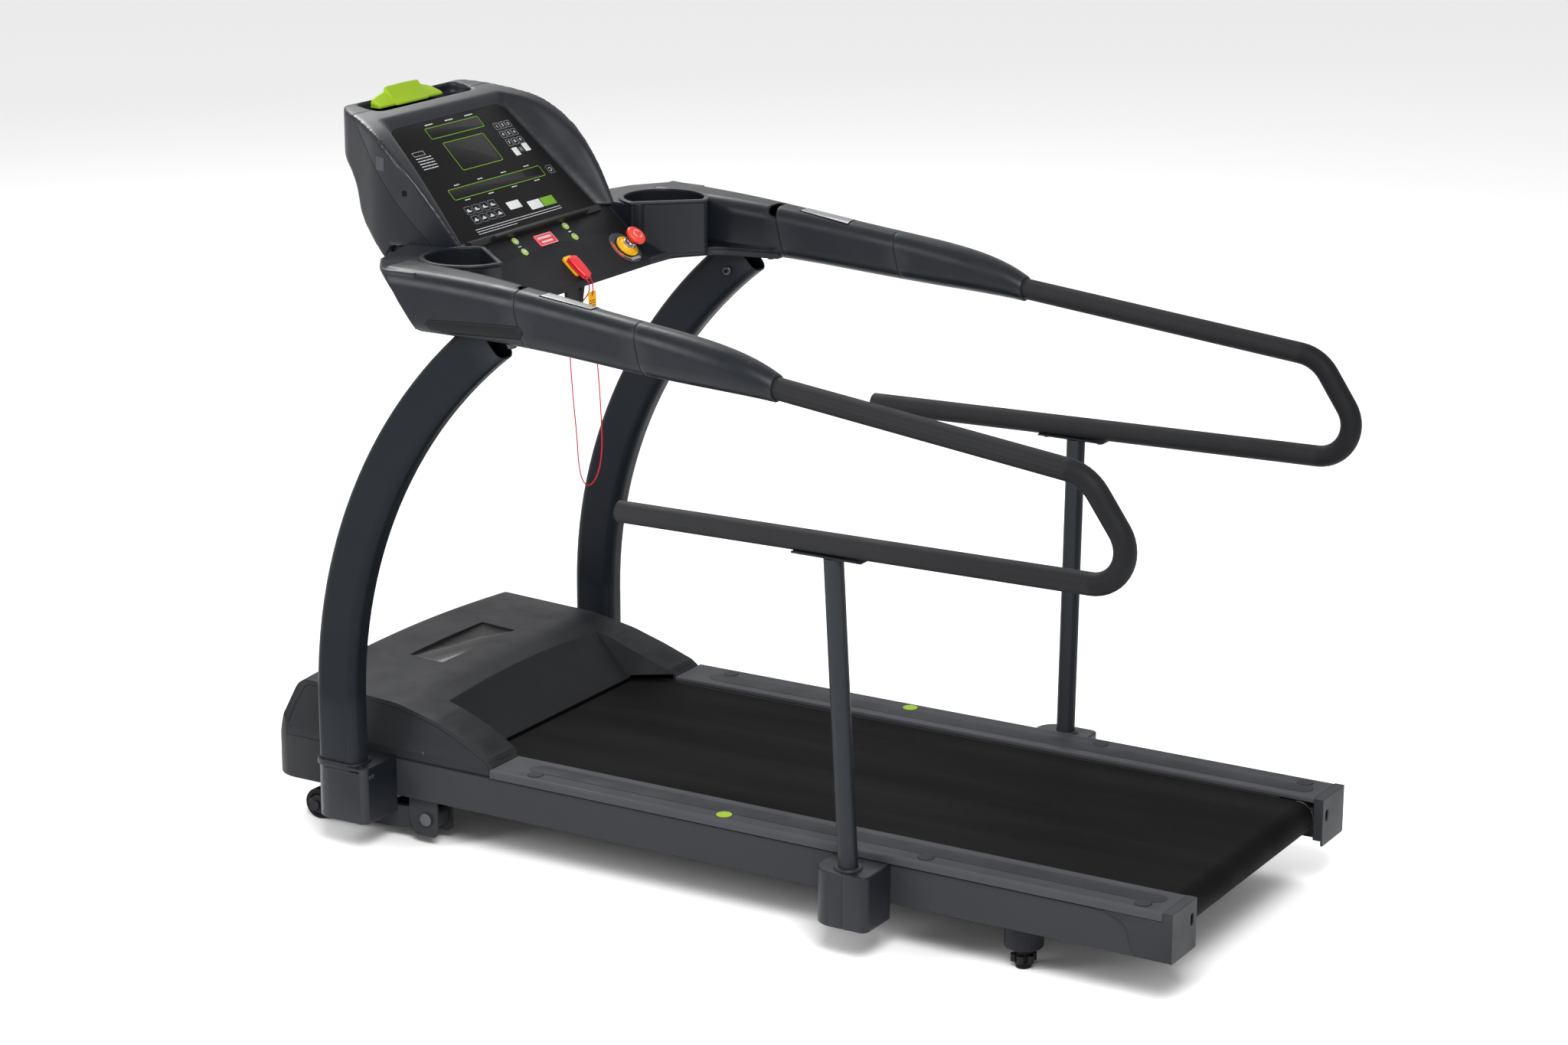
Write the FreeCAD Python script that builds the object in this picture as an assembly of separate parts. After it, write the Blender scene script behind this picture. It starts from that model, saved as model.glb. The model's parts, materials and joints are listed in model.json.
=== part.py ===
"""Rehabilitation treadmill: motorised flat-belt deck, arched uprights, console and long handrails.

Frame: +Z up, +Y the way the user walks (towards the console), +X to the user's right.
The origin is on the floor, under the middle of the treadmill's box. Millimetres.
"""
import FreeCAD, Part
import math
import os

V = FreeCAD.Vector

# ---------------------------------------------------------------- driving dimensions
HALF_LENGTH = 930.0        # end cap rear faces to hood front

BELT_WIDTH = 508.0         # 20 inch running belt
BELT_TOP = 172.0
BELT_OUTER_R = 30.0
BELT_INNER_R = 28.3
ROLLER_R = 28.0
ROLLER_BORE_R = 25.0
ROLLER_HALF = 262.0
ROLLER_Z = BELT_TOP - BELT_OUTER_R
REAR_ROLLER_Y = -886.0
FRONT_ROLLER_Y = 540.0
AXLE_R = 8.5
RUNNING_GAP = 0.05         # radial clearance of a shaft in its bearing
SKIN_GAP = 0.3             # clearance between moving faces

FRAME_IN = 302.0           # side tube inner face, from the middle
FRAME_OUT = 355.0
FRAME_LOW = 91.0
FRAME_HIGH = 160.0
FRAME_REAR = -905.0
FRAME_FRONT = 788.0

RAIL_IN = 265.0            # foot rail cover
RAIL_OUT = 360.0
RAIL_TOP = 178.0
RAIL_SKIN = 4.0
RAIL_REAR = -912.0
RAIL_FRONT = 412.0
DOT_R = 14.0

UPRIGHT_X = 420.0
UPRIGHT_Y = 690.6          # centre line of the straight foot
UPRIGHT_DEPTH = 88.0       # fore-aft
UPRIGHT_WIDTH = 50.0
UPRIGHT_CORNER_R = 18.0
UPRIGHT_WALL = 3.0
UPRIGHT_FOOT_Z = 70.0
UPRIGHT_BEND_Z = 278.0
UPRIGHT_BEND_R = 910.0
UPRIGHT_BEND_DEG = 52.0

RAIL_TUBE_R = 19.0         # handrail tube, 38 mm
RAIL_TUBE_WALL = 2.0
HANDRAIL_CORNERS = [       # centre line corners, front end inside the console arm first
    V(427.3, 300.0, 1041.0),
    V(460.6, -805.7, 921.2),
    V(456.4, -925.8, 746.0),
    V(439.1, 73.9, 728.9),
]
HANDRAIL_TOP_BEND_R = 75.0
HANDRAIL_BOTTOM_BEND_R = 60.0

POST_R = 17.0
POST_FOOT = V(404.0, -356.5, 98.0)
POST_HEAD = V(445.1, -344.2, 714.0)

PANEL_REAR = (440.0, 1004.0)      # lower control panel, its rear edge (y, z)
PANEL_FRONT = (541.0, 1091.0)
OVERLAY_LOW = (552.0, 1095.7)     # display panel, 45 degrees
OVERLAY_HIGH = (738.0, 1281.7)
OVERLAY_HALF_LOW = 222.0
OVERLAY_HALF_HIGH = 178.0

CUP_X = 318.0
CUP_Y = 465.0
CUP_R = 80.0
CUP_FLAT = 42.0            # distance of the flat side from the cup's centre
CUP_FLAT_DEG = 222.0       # direction the flat side of the right cup faces
CUP_TOP = 1104.0
CUP_FLOOR = 1016.0
CUP_WALL = 4.0
CUP_RIM = 5.0

LIFT_PIVOT = (563.0, 52.0)
LIFT_WHEEL = (822.0, 29.0)
LIFT_PIN = (703.95, 103.3)
WHEEL_R = 29.0
PIVOT_R = 9.0
FOOT_X = 290.0
FOOT_Y = -628.0
FOOT_HOUSING_LOW = 38.0

MOTOR_Y = 775.0
MOTOR_Z = 186.0
DRIVE_X = -276.0           # middle of the drive belt
ROLLER_PULLEY_R = 50.0
MOTOR_PULLEY_R = 20.0


# ---------------------------------------------------------------- shape helpers
def box(x, y, z):
    """A block from (low, high) pairs."""
    return Part.makeBox(x[1] - x[0], y[1] - y[0], z[1] - z[0], V(x[0], y[0], z[0]))


def rod(radius, start, end):
    """A round bar between two points."""
    return Part.makeCylinder(radius, (end - start).Length, start, end - start)


def cone(low_radius, high_radius, start, end):
    return Part.makeCone(low_radius, high_radius, (end - start).Length, start, end - start)


def cross_rod(radius, x, y, z):
    """A round bar along X between the pair x."""
    return rod(radius, V(x[0], y, z), V(x[1], y, z))


def ring(outer, inner, start, end):
    return rod(outer, start, end).cut(rod(inner, start, end))


def mirrored(shape):
    """The same shape on the user's left."""
    return shape.mirror(V(0, 0, 0), V(1, 0, 0))


def both_sides(shape):
    return [shape, mirrored(shape)]


def lofted(wires, ruled=True):
    """A solid through the wires, turned the right way out."""
    solid = Part.makeLoft(wires, True, ruled)
    if solid.Volume < 0:
        solid.reverse()
    return solid


def fused(shapes):
    first, *rest = shapes
    return first.fuse(rest).removeSplitter() if rest else first


def corner_arc(before, corner, after, radius):
    """Start, middle and end of the arc that rounds a corner."""
    towards_before = (before - corner).normalize()
    towards_after = (after - corner).normalize()
    half = towards_before.getAngle(towards_after) / 2
    bisector = (towards_before + towards_after).normalize()
    reach = radius / math.tan(half)
    start = corner + towards_before * reach
    end = corner + towards_after * reach
    middle = corner + bisector * (radius / math.sin(half) - radius)
    return start, middle, end


def open_path(points, radii):
    """Straight runs joined by tangent arcs; radii has one value per inner point."""
    edges = []
    here = points[0]
    for before, corner, after, radius in zip(points, points[1:], points[2:], radii):
        start, middle, end = corner_arc(before, corner, after, radius)
        edges.append(Part.LineSegment(here, start).toShape())
        edges.append(Part.Arc(start, middle, end).toShape())
        here = end
    edges.append(Part.LineSegment(here, points[-1]).toShape())
    return Part.Wire(edges)


def closed_path(corners):
    """A closed outline from (point, corner radius) pairs."""
    arcs = []
    for index, (corner, radius) in enumerate(corners):
        before = corners[index - 1][0]
        after = corners[(index + 1) % len(corners)][0]
        arcs.append(corner_arc(before, corner, after, radius) if radius else (corner, None, corner))
    edges = []
    for index, (start, middle, end) in enumerate(arcs):
        last_end = arcs[index - 1][2]
        if last_end.distanceToPoint(start) > 1e-6:
            edges.append(Part.LineSegment(last_end, start).toShape())
        if middle is not None:
            edges.append(Part.Arc(start, middle, end).toShape())
    return Part.Wire(edges)


def outline(axis, level, corners):
    """A closed outline across an axis. Corners are (a, b) or (a, b, radius)."""
    placed = []
    for a, b, *radius in corners:
        point = {"x": V(level, a, b), "y": V(a, level, b), "z": V(a, b, level)}[axis]
        placed.append((point, radius[0] if radius else 0))
    return closed_path(placed)


def prism(axis, span, corners):
    """An outline drawn across an axis and extruded over the span."""
    low, high = span
    direction = {"x": V(high - low, 0, 0), "y": V(0, high - low, 0), "z": V(0, 0, high - low)}[axis]
    return Part.Face(outline(axis, low, corners)).extrude(direction)


def half_outline(corners):
    """Mirror the right half of an (x, y) outline about x = 0."""
    return corners + [(-x, y, *radius) for x, y, *radius in reversed(corners)]


def rounded_section(y, middle, width, low, high, radius):
    """A rounded rectangle across Y, as a wire."""
    left = middle - width / 2
    right = middle + width / 2
    return outline("y", y, [(left, low, radius), (right, low, radius),
                            (right, high, radius), (left, high, radius)])


def along_panel(distance, height):
    """A point (y, z) on the lower control panel, from its rear edge and above its face."""
    run = V(0, PANEL_FRONT[0] - PANEL_REAR[0], PANEL_FRONT[1] - PANEL_REAR[1]).normalize()
    return (PANEL_REAR[0] + run.y * distance - run.z * height,
            PANEL_REAR[1] + run.z * distance + run.y * height)


def along_overlay(distance, height):
    """A point (y, z) on the display panel, from its lower edge and above its face."""
    slope = math.sqrt(0.5)
    return (OVERLAY_LOW[0] + (distance - height) * slope,
            OVERLAY_LOW[1] + (distance + height) * slope)


def panel_point(x, distance, height):
    return V(x, *along_panel(distance, height))


PANEL_LENGTH = math.hypot(PANEL_FRONT[0] - PANEL_REAR[0], PANEL_FRONT[1] - PANEL_REAR[1])


# ---------------------------------------------------------------- base frame and deck
LEDGE_IN = 270.0
LEDGE_LOW = 125.0
LEDGE_HIGH = 128.0
DECK_LOW = 148.0
DECK_HIGH = 170.0
DECK_HALF = 296.0
DECK_FRONT = 480.0
TENSION_X = 283.0
TENSION_BOLT_R = 4.0


def side_frame():
    tube = box((FRAME_IN, FRAME_OUT), (FRAME_REAR, FRAME_FRONT), (FRAME_LOW, FRAME_HIGH))
    wall = 3.0
    bore = box((FRAME_IN + wall, FRAME_OUT - wall), (FRAME_REAR, FRAME_FRONT),
               (FRAME_LOW + wall, FRAME_HIGH - wall))
    ledge = box((LEDGE_IN, FRAME_IN), (-840, DECK_FRONT), (LEDGE_LOW, LEDGE_HIGH))
    tension_plate = box((LEDGE_IN, FRAME_IN), (-909, -903), (120, 158))
    tension_hole = rod(TENSION_BOLT_R + SKIN_GAP, V(TENSION_X, -910, ROLLER_Z), V(TENSION_X, -900, ROLLER_Z))
    return fused([tube.cut(bore), ledge, tension_plate.cut(tension_hole)])


def cross_members():
    width = (-FRAME_IN, FRAME_IN)
    rear = box(width, (-662, -594), (FRAME_LOW, 108))
    middle = box(width, (-60, -10), (FRAME_LOW, 108))
    front = box(width, (745, 785), (FRAME_LOW, 131))
    roller_tie = box(width, (596, 612), (FRAME_LOW + 1, 104))
    solids = [rear, middle, front, roller_tie]
    for x in (297.0, 341.0):
        plate = prism("x", (x, x + 4), [(540, FRAME_LOW), (603, FRAME_LOW), (603, 44, 18), (588, 18, 12),
                                        (548, 18, 8), (540, 26, 4)])
        plate = plate.cut(cross_rod(PIVOT_R, (x - 1, x + 5), *LIFT_PIVOT))
        solids += both_sides(plate)
    return solids


def lift_pivot_pins():
    pin = cross_rod(PIVOT_R, (297, 345), *LIFT_PIVOT)
    head = cross_rod(12, (345, 351), *LIFT_PIVOT)
    return both_sides(pin.fuse(head).removeSplitter())


def rail_cover():
    skin = prism("y", (RAIL_REAR, RAIL_FRONT), [
        (RAIL_IN, DECK_HIGH, 1), (RAIL_IN + 3, DECK_HIGH, 1), (RAIL_IN + 3, RAIL_TOP - RAIL_SKIN, 1),
        (RAIL_OUT - 3, RAIL_TOP - RAIL_SKIN, 1), (RAIL_OUT - 3, 163, 1), (RAIL_OUT, 163, 1),
        (RAIL_OUT, RAIL_TOP, 5), (RAIL_IN, RAIL_TOP, 3)])
    ribs = [box((x, x + 3), (RAIL_REAR, RAIL_FRONT), (FRAME_HIGH, RAIL_TOP - RAIL_SKIN))
            for x in (306.0, 345.0)]
    cover = fused([skin] + ribs)
    for y in DOT_STATIONS:
        cover = cover.cut(rod(DOT_R + 0.1, V(DOT_X, y, RAIL_TOP - 1.5), V(DOT_X, y, RAIL_TOP + 1)))
    return cover


DOT_X = 335.0
MARKER_Y = -65.8
DOT_STATIONS = [329.0, MARKER_Y, -463.5, -865.7]


def rail_dot(y):
    disc = rod(DOT_R, V(DOT_X, y, RAIL_TOP - 1.5), V(DOT_X, y, RAIL_TOP + 1.2))
    return disc.makeFillet(0.8, [disc.Edges[0]])


def end_cap():
    """The rear cap: rear wall, top lip, outer side with a curved front edge, and a short inner wall."""
    skin = 3.0
    rear_y = -HALF_LENGTH
    low = 91.0
    rear = prism("y", (rear_y, rear_y + skin),
                 [(RAIL_IN, low, 4), (RAIL_OUT, low, 4), (RAIL_OUT, RAIL_TOP, 5),
                                                (RAIL_IN, RAIL_TOP, 5)])
    side = prism("x", (RAIL_OUT - skin, RAIL_OUT), [
        (rear_y, low + 2), (-872, low + 2, 6), (-858, 104, 20), (-846, 146, 26), (-812, 161.5, 8),
        (-806, 162.5),
        (RAIL_REAR - 0.5, 162.5), (RAIL_REAR - 0.5, RAIL_TOP, 2), (rear_y, RAIL_TOP, 2)])
    inner = box((RAIL_IN, RAIL_IN + skin), (rear_y, RAIL_REAR - 0.5), (low + 10, RAIL_TOP))
    top = box((RAIL_IN, RAIL_OUT), (rear_y, RAIL_REAR - 0.5), (RAIL_TOP - skin, RAIL_TOP))
    cap = fused([rear, side, inner, top])
    hole = prism("y", (rear_y - 1, rear_y + skin + 1), [
        (TENSION_X - 6, ROLLER_Z - 8, 5.9), (TENSION_X + 6, ROLLER_Z - 8, 5.9),
        (TENSION_X + 6, ROLLER_Z + 14, 5.9), (TENSION_X - 6, ROLLER_Z + 14, 5.9)])
    return cap.cut(hole)


def deck_board():
    return box((-DECK_HALF, DECK_HALF), (-848, DECK_FRONT), (DECK_LOW, DECK_HIGH))


def deck_cushions():
    pads = []
    for y in (-780.0, -420.0, -40.0, 330.0):
        pads += both_sides(rod(11, V(284, y, LEDGE_HIGH), V(284, y, DECK_LOW)))
    return pads


def belt_loop(radius):
    """The outline of the running belt at a given distance from the roller centres."""
    low = ROLLER_Z - radius
    high = ROLLER_Z + radius
    rear = V(0, REAR_ROLLER_Y - radius, ROLLER_Z)
    front = V(0, FRONT_ROLLER_Y + radius, ROLLER_Z)
    rear_top = V(0, REAR_ROLLER_Y, high)
    rear_low = V(0, REAR_ROLLER_Y, low)
    front_top = V(0, FRONT_ROLLER_Y, high)
    front_low = V(0, FRONT_ROLLER_Y, low)
    return Part.Face(Part.Wire([
        Part.LineSegment(rear_top, front_top).toShape(), Part.Arc(front_top, front, front_low).toShape(),
        Part.LineSegment(front_low, rear_low).toShape(), Part.Arc(rear_low, rear, rear_top).toShape()]))


def running_belt():
    band = belt_loop(BELT_OUTER_R).cut(belt_loop(BELT_INNER_R))
    band.translate(V(-BELT_WIDTH / 2, 0, 0))
    return band.extrude(V(BELT_WIDTH, 0, 0))


# ---------------------------------------------------------------- rollers and drive
BEARING_IN = 244.0
BEARING_OUT = 258.0


def roller(y):
    return ring(ROLLER_R, ROLLER_BORE_R, V(-ROLLER_HALF, y, ROLLER_Z), V(ROLLER_HALF, y, ROLLER_Z))


def roller_bearings(y):
    bearing = ring(ROLLER_BORE_R, AXLE_R + RUNNING_GAP, V(BEARING_IN, y, ROLLER_Z),
                   V(BEARING_OUT, y, ROLLER_Z))
    return both_sides(bearing)


def roller_axles():
    return [cross_rod(AXLE_R, (-FRAME_IN, FRAME_IN), y, ROLLER_Z) for y in (REAR_ROLLER_Y, FRONT_ROLLER_Y)]


def ribbed_pulley(radius, bore, x, y, z, width, grooves):
    """A poly-V pulley between flanges, with its grooves cut round it."""
    pulley = cross_rod(radius, (x - width / 2, x + width / 2), y, z)
    pitch = width / (grooves + 1)
    for index in range(grooves):
        centre = x - width / 2 + pitch * (index + 1)
        pulley = pulley.cut(ring(radius + 1, radius - 1.2, V(centre - 0.8, y, z), V(centre + 0.8, y, z)))
    if bore:
        pulley = pulley.cut(cross_rod(bore, (x - width, x + width), y, z))
    return pulley


def roller_pulley():
    wheel = ribbed_pulley(ROLLER_PULLEY_R, 0, DRIVE_X, FRONT_ROLLER_Y, ROLLER_Z, 16, 5)
    hub = cross_rod(27, (DRIVE_X + 8, -ROLLER_HALF), FRONT_ROLLER_Y, ROLLER_Z)
    bore = cross_rod(10, (DRIVE_X - 10, -ROLLER_HALF + 1), FRONT_ROLLER_Y, ROLLER_Z)
    return wheel.fuse(hub).removeSplitter().cut(bore)


def motor_pulley():
    wheel = ribbed_pulley(MOTOR_PULLEY_R, 0, DRIVE_X, MOTOR_Y, MOTOR_Z, 16, 5)
    shaft = cross_rod(8, (DRIVE_X - 8, -40), MOTOR_Y, MOTOR_Z)
    flywheel = cross_rod(42, (DRIVE_X + 16, DRIVE_X + 32), MOTOR_Y, MOTOR_Z)
    return fused([wheel, shaft, flywheel])


def drive_belt():
    """An open belt round both pulleys, from its two tangent lines."""
    span = V(0, MOTOR_Y - FRONT_ROLLER_Y, MOTOR_Z - ROLLER_Z)
    distance = span.Length
    heading = math.atan2(span.z, span.y)

    def loop(extra):
        big = ROLLER_PULLEY_R + extra
        small = MOTOR_PULLEY_R + extra
        lean = math.acos((big - small) / distance)

        def rim(centre_y, centre_z, radius, angle):
            return V(0, centre_y + radius * math.cos(angle), centre_z + radius * math.sin(angle))

        big_top = rim(FRONT_ROLLER_Y, ROLLER_Z, big, heading + lean)
        big_back = rim(FRONT_ROLLER_Y, ROLLER_Z, big, heading + math.pi)
        big_low = rim(FRONT_ROLLER_Y, ROLLER_Z, big, heading - lean)
        small_top = rim(MOTOR_Y, MOTOR_Z, small, heading + lean)
        small_front = rim(MOTOR_Y, MOTOR_Z, small, heading)
        small_low = rim(MOTOR_Y, MOTOR_Z, small, heading - lean)
        return Part.Face(Part.Wire([
            Part.Arc(big_low, big_back, big_top).toShape(), Part.LineSegment(big_top, small_top).toShape(),
            Part.Arc(small_top, small_front, small_low).toShape(),
            Part.LineSegment(small_low, big_low).toShape()]))

    band = loop(3.0).cut(loop(SKIN_GAP))
    band.translate(V(DRIVE_X - 6, 0, 0))
    return band.extrude(V(12, 0, 0))


def drive_motor():
    """The motor's can, with end bells and a foot that stands on the front cross member."""
    can = ring(50, 9, V(-230, MOTOR_Y, MOTOR_Z), V(-50, MOTOR_Y, MOTOR_Z))
    can = can.cut(ring(51, 48, V(-205, MOTOR_Y, MOTOR_Z), V(-75, MOTOR_Y, MOTOR_Z)))
    fins = []
    for index in range(12):
        x = -200.0 + index * 10.5
        fins.append(ring(50, 47.5, V(x, MOTOR_Y, MOTOR_Z), V(x + 3, MOTOR_Y, MOTOR_Z)))
    foot = box((-210, -70), (752, 782), (131, MOTOR_Z - 44))
    return fused([can, foot] + fins)


def motor_controller():
    """A drive board box with a finned heat sink, on a shelf across the frame."""
    shelf = box((60, 250), (640, 780), (131, 134))
    case = box((80, 230), (660, 770), (134, 170))
    fins = [box((86 + 12 * index, 90 + 12 * index), (662, 768), (170, 196)) for index in range(12)]
    return fused([shelf, case] + fins)


# ---------------------------------------------------------------- lift, wheels and feet
ARM_IN = 303.0
ARM_OUT = 339.0
FORK_PLATE = 4.0
SCREW_R = 9.0
SCREW_TOP = 257.0
SCREW_Y = LIFT_PIN[0] + 4.5


def lift_frame():
    pivot_y, pivot_z = LIFT_PIVOT
    wheel_y, wheel_z = LIFT_WHEEL
    beam = prism("x", (ARM_IN, ARM_OUT), [
        (pivot_y - 18, pivot_z - 18, 14), (pivot_y - 18, pivot_z + 18, 14), (680, pivot_z + 10, 60),
        (782, 52, 4), (782, 16, 4), (660, 20, 60)])
    fork = prism("x", (ARM_IN, ARM_OUT),
                 [(770, 16, 2), (770, 51, 2), (wheel_y, 48, 10), (wheel_y + 18, wheel_z + 8, 10),
                                          (wheel_y + 14, wheel_z - 14, 10), (wheel_y - 10, 13, 6)])
    slot = box((ARM_IN + FORK_PLATE, ARM_OUT - FORK_PLATE), (wheel_y - WHEEL_R - 4, wheel_y + 40), (-5, 70))
    axle = cross_rod(6, (ARM_IN, ARM_OUT), wheel_y, wheel_z)
    head = cross_rod(9, (ARM_OUT, ARM_OUT + 4), wheel_y, wheel_z)
    arm = fused([beam, fork]).cut(slot).fuse([axle, head]).removeSplitter()
    arm = arm.cut(cross_rod(PIVOT_R + RUNNING_GAP, (ARM_IN - 1, ARM_OUT + 1), pivot_y, pivot_z))
    torsion = cross_rod(19, (-ARM_IN, ARM_IN), 648, 48)
    lever = prism("x", (12, 18),
                  [(632, 40, 8), (632, 66, 8), (694, LIFT_PIN[1] + 12, 10), (716, LIFT_PIN[1] + 10, 8),
                                  (716, LIFT_PIN[1] - 10, 8), (664, 32, 8)])
    pin = cross_rod(6, (-18, 18), *LIFT_PIN)
    return fused(both_sides(arm) + [torsion] + both_sides(lever) + [pin])


def lift_screw():
    """The jack's screw and its yoke, whose slot lets the lever's pin swing through its arc."""
    pin_y, pin_z = LIFT_PIN
    yoke = box((-10, 10), (pin_y - 12, pin_y + 21), (pin_z - 12, pin_z + 16))
    slot = box((-11, 11), (pin_y - 6.7, pin_y + 15.7), (pin_z - 6.7, pin_z + 6.7))
    screw = rod(SCREW_R, V(0, SCREW_Y, pin_z + 16), V(0, SCREW_Y, SCREW_TOP))
    return fused([yoke.cut(slot), screw])


def lift_motor():
    """The jack: a gearbox round the screw, its motor beside it and a bracket on the front cross member."""
    gearbox = box((-24, 24), (SCREW_Y - 22, SCREW_Y + 22), (140, 182))
    guide = rod(15, V(0, SCREW_Y, 182), V(0, SCREW_Y, 236))
    bore = rod(SCREW_R + SKIN_GAP, V(0, SCREW_Y, 130), V(0, SCREW_Y, 240))
    can = rod(21, V(42, SCREW_Y, 150), V(42, SCREW_Y, 250))
    gearcase = box((20, 62), (SCREW_Y - 22, SCREW_Y + 22), (140, 152))
    arm = box((-24, 24), (SCREW_Y + 22, 745), (140, 150))
    foot = box((-24, 24), (743, 751), (131, 150))
    return fused([gearbox, guide, can, gearcase, arm, foot]).cut(bore)


def transport_wheel():
    half = (ARM_OUT - ARM_IN) / 2 - FORK_PLATE - 1
    middle = (ARM_IN + ARM_OUT) / 2
    wheel_y, wheel_z = LIFT_WHEEL
    wheel = cross_rod(WHEEL_R, (middle - half, middle + half), wheel_y, wheel_z)
    wheel = wheel.makeFillet(2.5, [edge for edge in wheel.Edges if edge.Curve.TypeId == "Part::GeomCircle"])
    hub_recess = ring(20, 11, V(middle + half - 3, wheel_y, wheel_z), V(middle + half + 1, wheel_y, wheel_z))
    return wheel.cut(hub_recess).cut(cross_rod(6.06, (ARM_IN, ARM_OUT), wheel_y, wheel_z))


def foot_housings():
    housing = rod(34, V(FOOT_X, FOOT_Y, FOOT_HOUSING_LOW), V(FOOT_X, FOOT_Y, FRAME_LOW))
    housing = housing.makeFillet(4, [housing.Edges[2]])
    bore = rod(6.35, V(FOOT_X, FOOT_Y, 30), V(FOOT_X, FOOT_Y, 86))
    return both_sides(housing.cut(bore))


def levelling_foot(x):
    """A star knob with a domed pad under it and a threaded stem above."""
    stem = rod(6, V(x, FOOT_Y, 26), V(x, FOOT_Y, 84))
    neck = rod(15, V(x, FOOT_Y, 24), V(x, FOOT_Y, FOOT_HOUSING_LOW - SKIN_GAP))
    pad = cone(13, 17, V(x, FOOT_Y, 0), V(x, FOOT_Y, 13))
    star = rod(16, V(x, FOOT_Y, 12), V(x, FOOT_Y, 25))
    lobes = []
    for index in range(6):
        angle = math.radians(60 * index + 10)
        centre = V(x + 16 * math.cos(angle), FOOT_Y + 16 * math.sin(angle), 12)
        lobes.append(rod(6.5, centre, centre + V(0, 0, 13)))
    return fused([stem, neck, pad, star] + lobes)


# ---------------------------------------------------------------- motor hood
HOOD_HALF = 349.0
HOOD_SKIN = 3.0
HOOD_SKIRT_LOW = 79.0
HOOD_SKIRT_REAR = 792.0
HOOD_SIDE_LOW = 162.0
HOOD_LEAN = 0.29           # how far the side walls lean in for each millimetre of height
HOOD_LEAN_START = 178.0
HOOD_TOP_ROOM = 330.0


def hood_profile(crown, inset):
    """The hood from the side (y, z); crown raises its top towards the middle."""
    drop = inset
    return [
        (413 + 2 * inset, HOOD_SIDE_LOW - inset), (413 + 2 * inset, 178 - drop, 8),
        (426 + inset, 190 - drop, 16),
        (483, 214 - drop + crown * 0.1, 60), (550, 237 - drop + crown * 0.4, 120),
        (640, 255 - drop + crown * 0.8, 200), (862 - inset, 264 - drop + crown, 26),
        (904 - inset + crown * 1.17, 155, 40), (906 - inset + crown * 1.6, HOOD_SKIRT_LOW - inset),
        (HOOD_SKIRT_REAR - inset, HOOD_SKIRT_LOW - inset), (HOOD_SKIRT_REAR - inset, HOOD_SIDE_LOW - inset)]


def hood_lean(inset):
    """The space between the hood's side walls, which lean in above the rails."""
    half = HOOD_HALF - inset
    top = half - HOOD_LEAN * (HOOD_TOP_ROOM - HOOD_LEAN_START)
    return prism("y", (370, 960), [(-half, 60), (half, 60), (half, HOOD_LEAN_START), (top, HOOD_TOP_ROOM),
                                   (-top, HOOD_TOP_ROOM), (-half, HOOD_LEAN_START)])


def hood_body(inset):
    """The closed form of the hood, crowned across and rounded at its front corners."""
    stations = [(-HOOD_HALF - 1, 0), (-190, 10.2), (0, 15), (190, 10.2), (HOOD_HALF + 1, 0)]
    wires = [outline("x", x, hood_profile(crown, inset)) for x, crown in stations]
    form = lofted(wires, False)
    front = HALF_LENGTH - inset
    half = HOOD_HALF - inset
    plan = prism("z", (60, 330),
                 [(half, 380), (half, front - 8, 62), (0, front + 1, 1800), (-half, front - 8, 62),
                                  (-half, 380)])
    return form.common(plan).common(hood_lean(inset))


def hood_well():
    """The space the belt runs into, between the hood's side arms and under its sloping rear wall."""
    low = [(213, 483), (265, 412), (268, 380)]
    high = [(279, 684), (300, 412), (303, 370)]
    lower = outline("z", 176, half_outline(low))
    upper = outline("z", 322, half_outline(high))
    return lofted([lower, upper])


def hood_well_wall():
    """The well grown by the hood's skin, for the wall that lines it."""
    low = [(216, 487), (268.5, 416), (271, 376)]
    high = [(282, 688), (303.5, 416), (306, 366)]
    lower = outline("z", 176, half_outline(low))
    upper = outline("z", 322, half_outline(high))
    return lofted([lower, upper])


def side_panel_outline(inset):
    return [(420 + inset, HOOD_SIDE_LOW - 1), (420 + inset, 177, 6), (432, 187 - inset, 14),
            (483, 208 - inset, 60),
            (550, 231 - inset, 120), (640, 249 - inset, 200), (846, 258 - inset, 12), (862, 226, 20),
            (880, 168, 10), (880, HOOD_SIDE_LOW - 1)]


BADGE_HALF = 118.0
BADGE_REAR = 684.0
BADGE_FRONT = 760.0
BADGE_FLOOR = (264.5, 268.6)


def hood_cover():
    hollow = hood_body(HOOD_SKIN).cut(hood_well_wall())
    shell = hood_body(0).cut(hollow).cut(hood_well())
    underside = box((-HOOD_HALF + 3, HOOD_HALF - 3), (430, HOOD_SKIRT_REAR + 3), (150, HOOD_SIDE_LOW + 0.5))
    shell = shell.cut(underside)
    below_well = box((-268, 268), (400, 486), (150, 181.5))
    over_deck = box((-DECK_HALF - 1, DECK_HALF + 1), (400, DECK_FRONT + 1), (150, DECK_HIGH))
    shell = shell.cut(below_well).cut(over_deck)
    window = prism("x", (HOOD_HALF - 45, HOOD_HALF + 2), side_panel_outline(0))
    for side in both_sides(window):
        shell = shell.cut(side)
    rear_floor, front_floor = BADGE_FLOOR
    badge = prism("x", (-BADGE_HALF, BADGE_HALF), [(BADGE_REAR, rear_floor), (BADGE_FRONT, front_floor),
                                                   (BADGE_FRONT, 320), (BADGE_REAR, 320)])
    backing = prism("x", (-BADGE_HALF - 4, BADGE_HALF + 4), [
        (BADGE_REAR - 6, rear_floor - 3), (BADGE_FRONT + 6, front_floor - 3),
        (BADGE_FRONT + 6, front_floor + 9),
        (BADGE_REAR - 6, rear_floor + 4)])
    backing = backing.common(hood_body(1))
    switch_hole = box(SWITCH_X, (890, 940), INLET_Z)
    inlet_hole = box(INLET_X, (890, 940), INLET_Z)
    return shell.fuse(backing).removeSplitter().cut(badge).cut(switch_hole).cut(inlet_hole)


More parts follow.
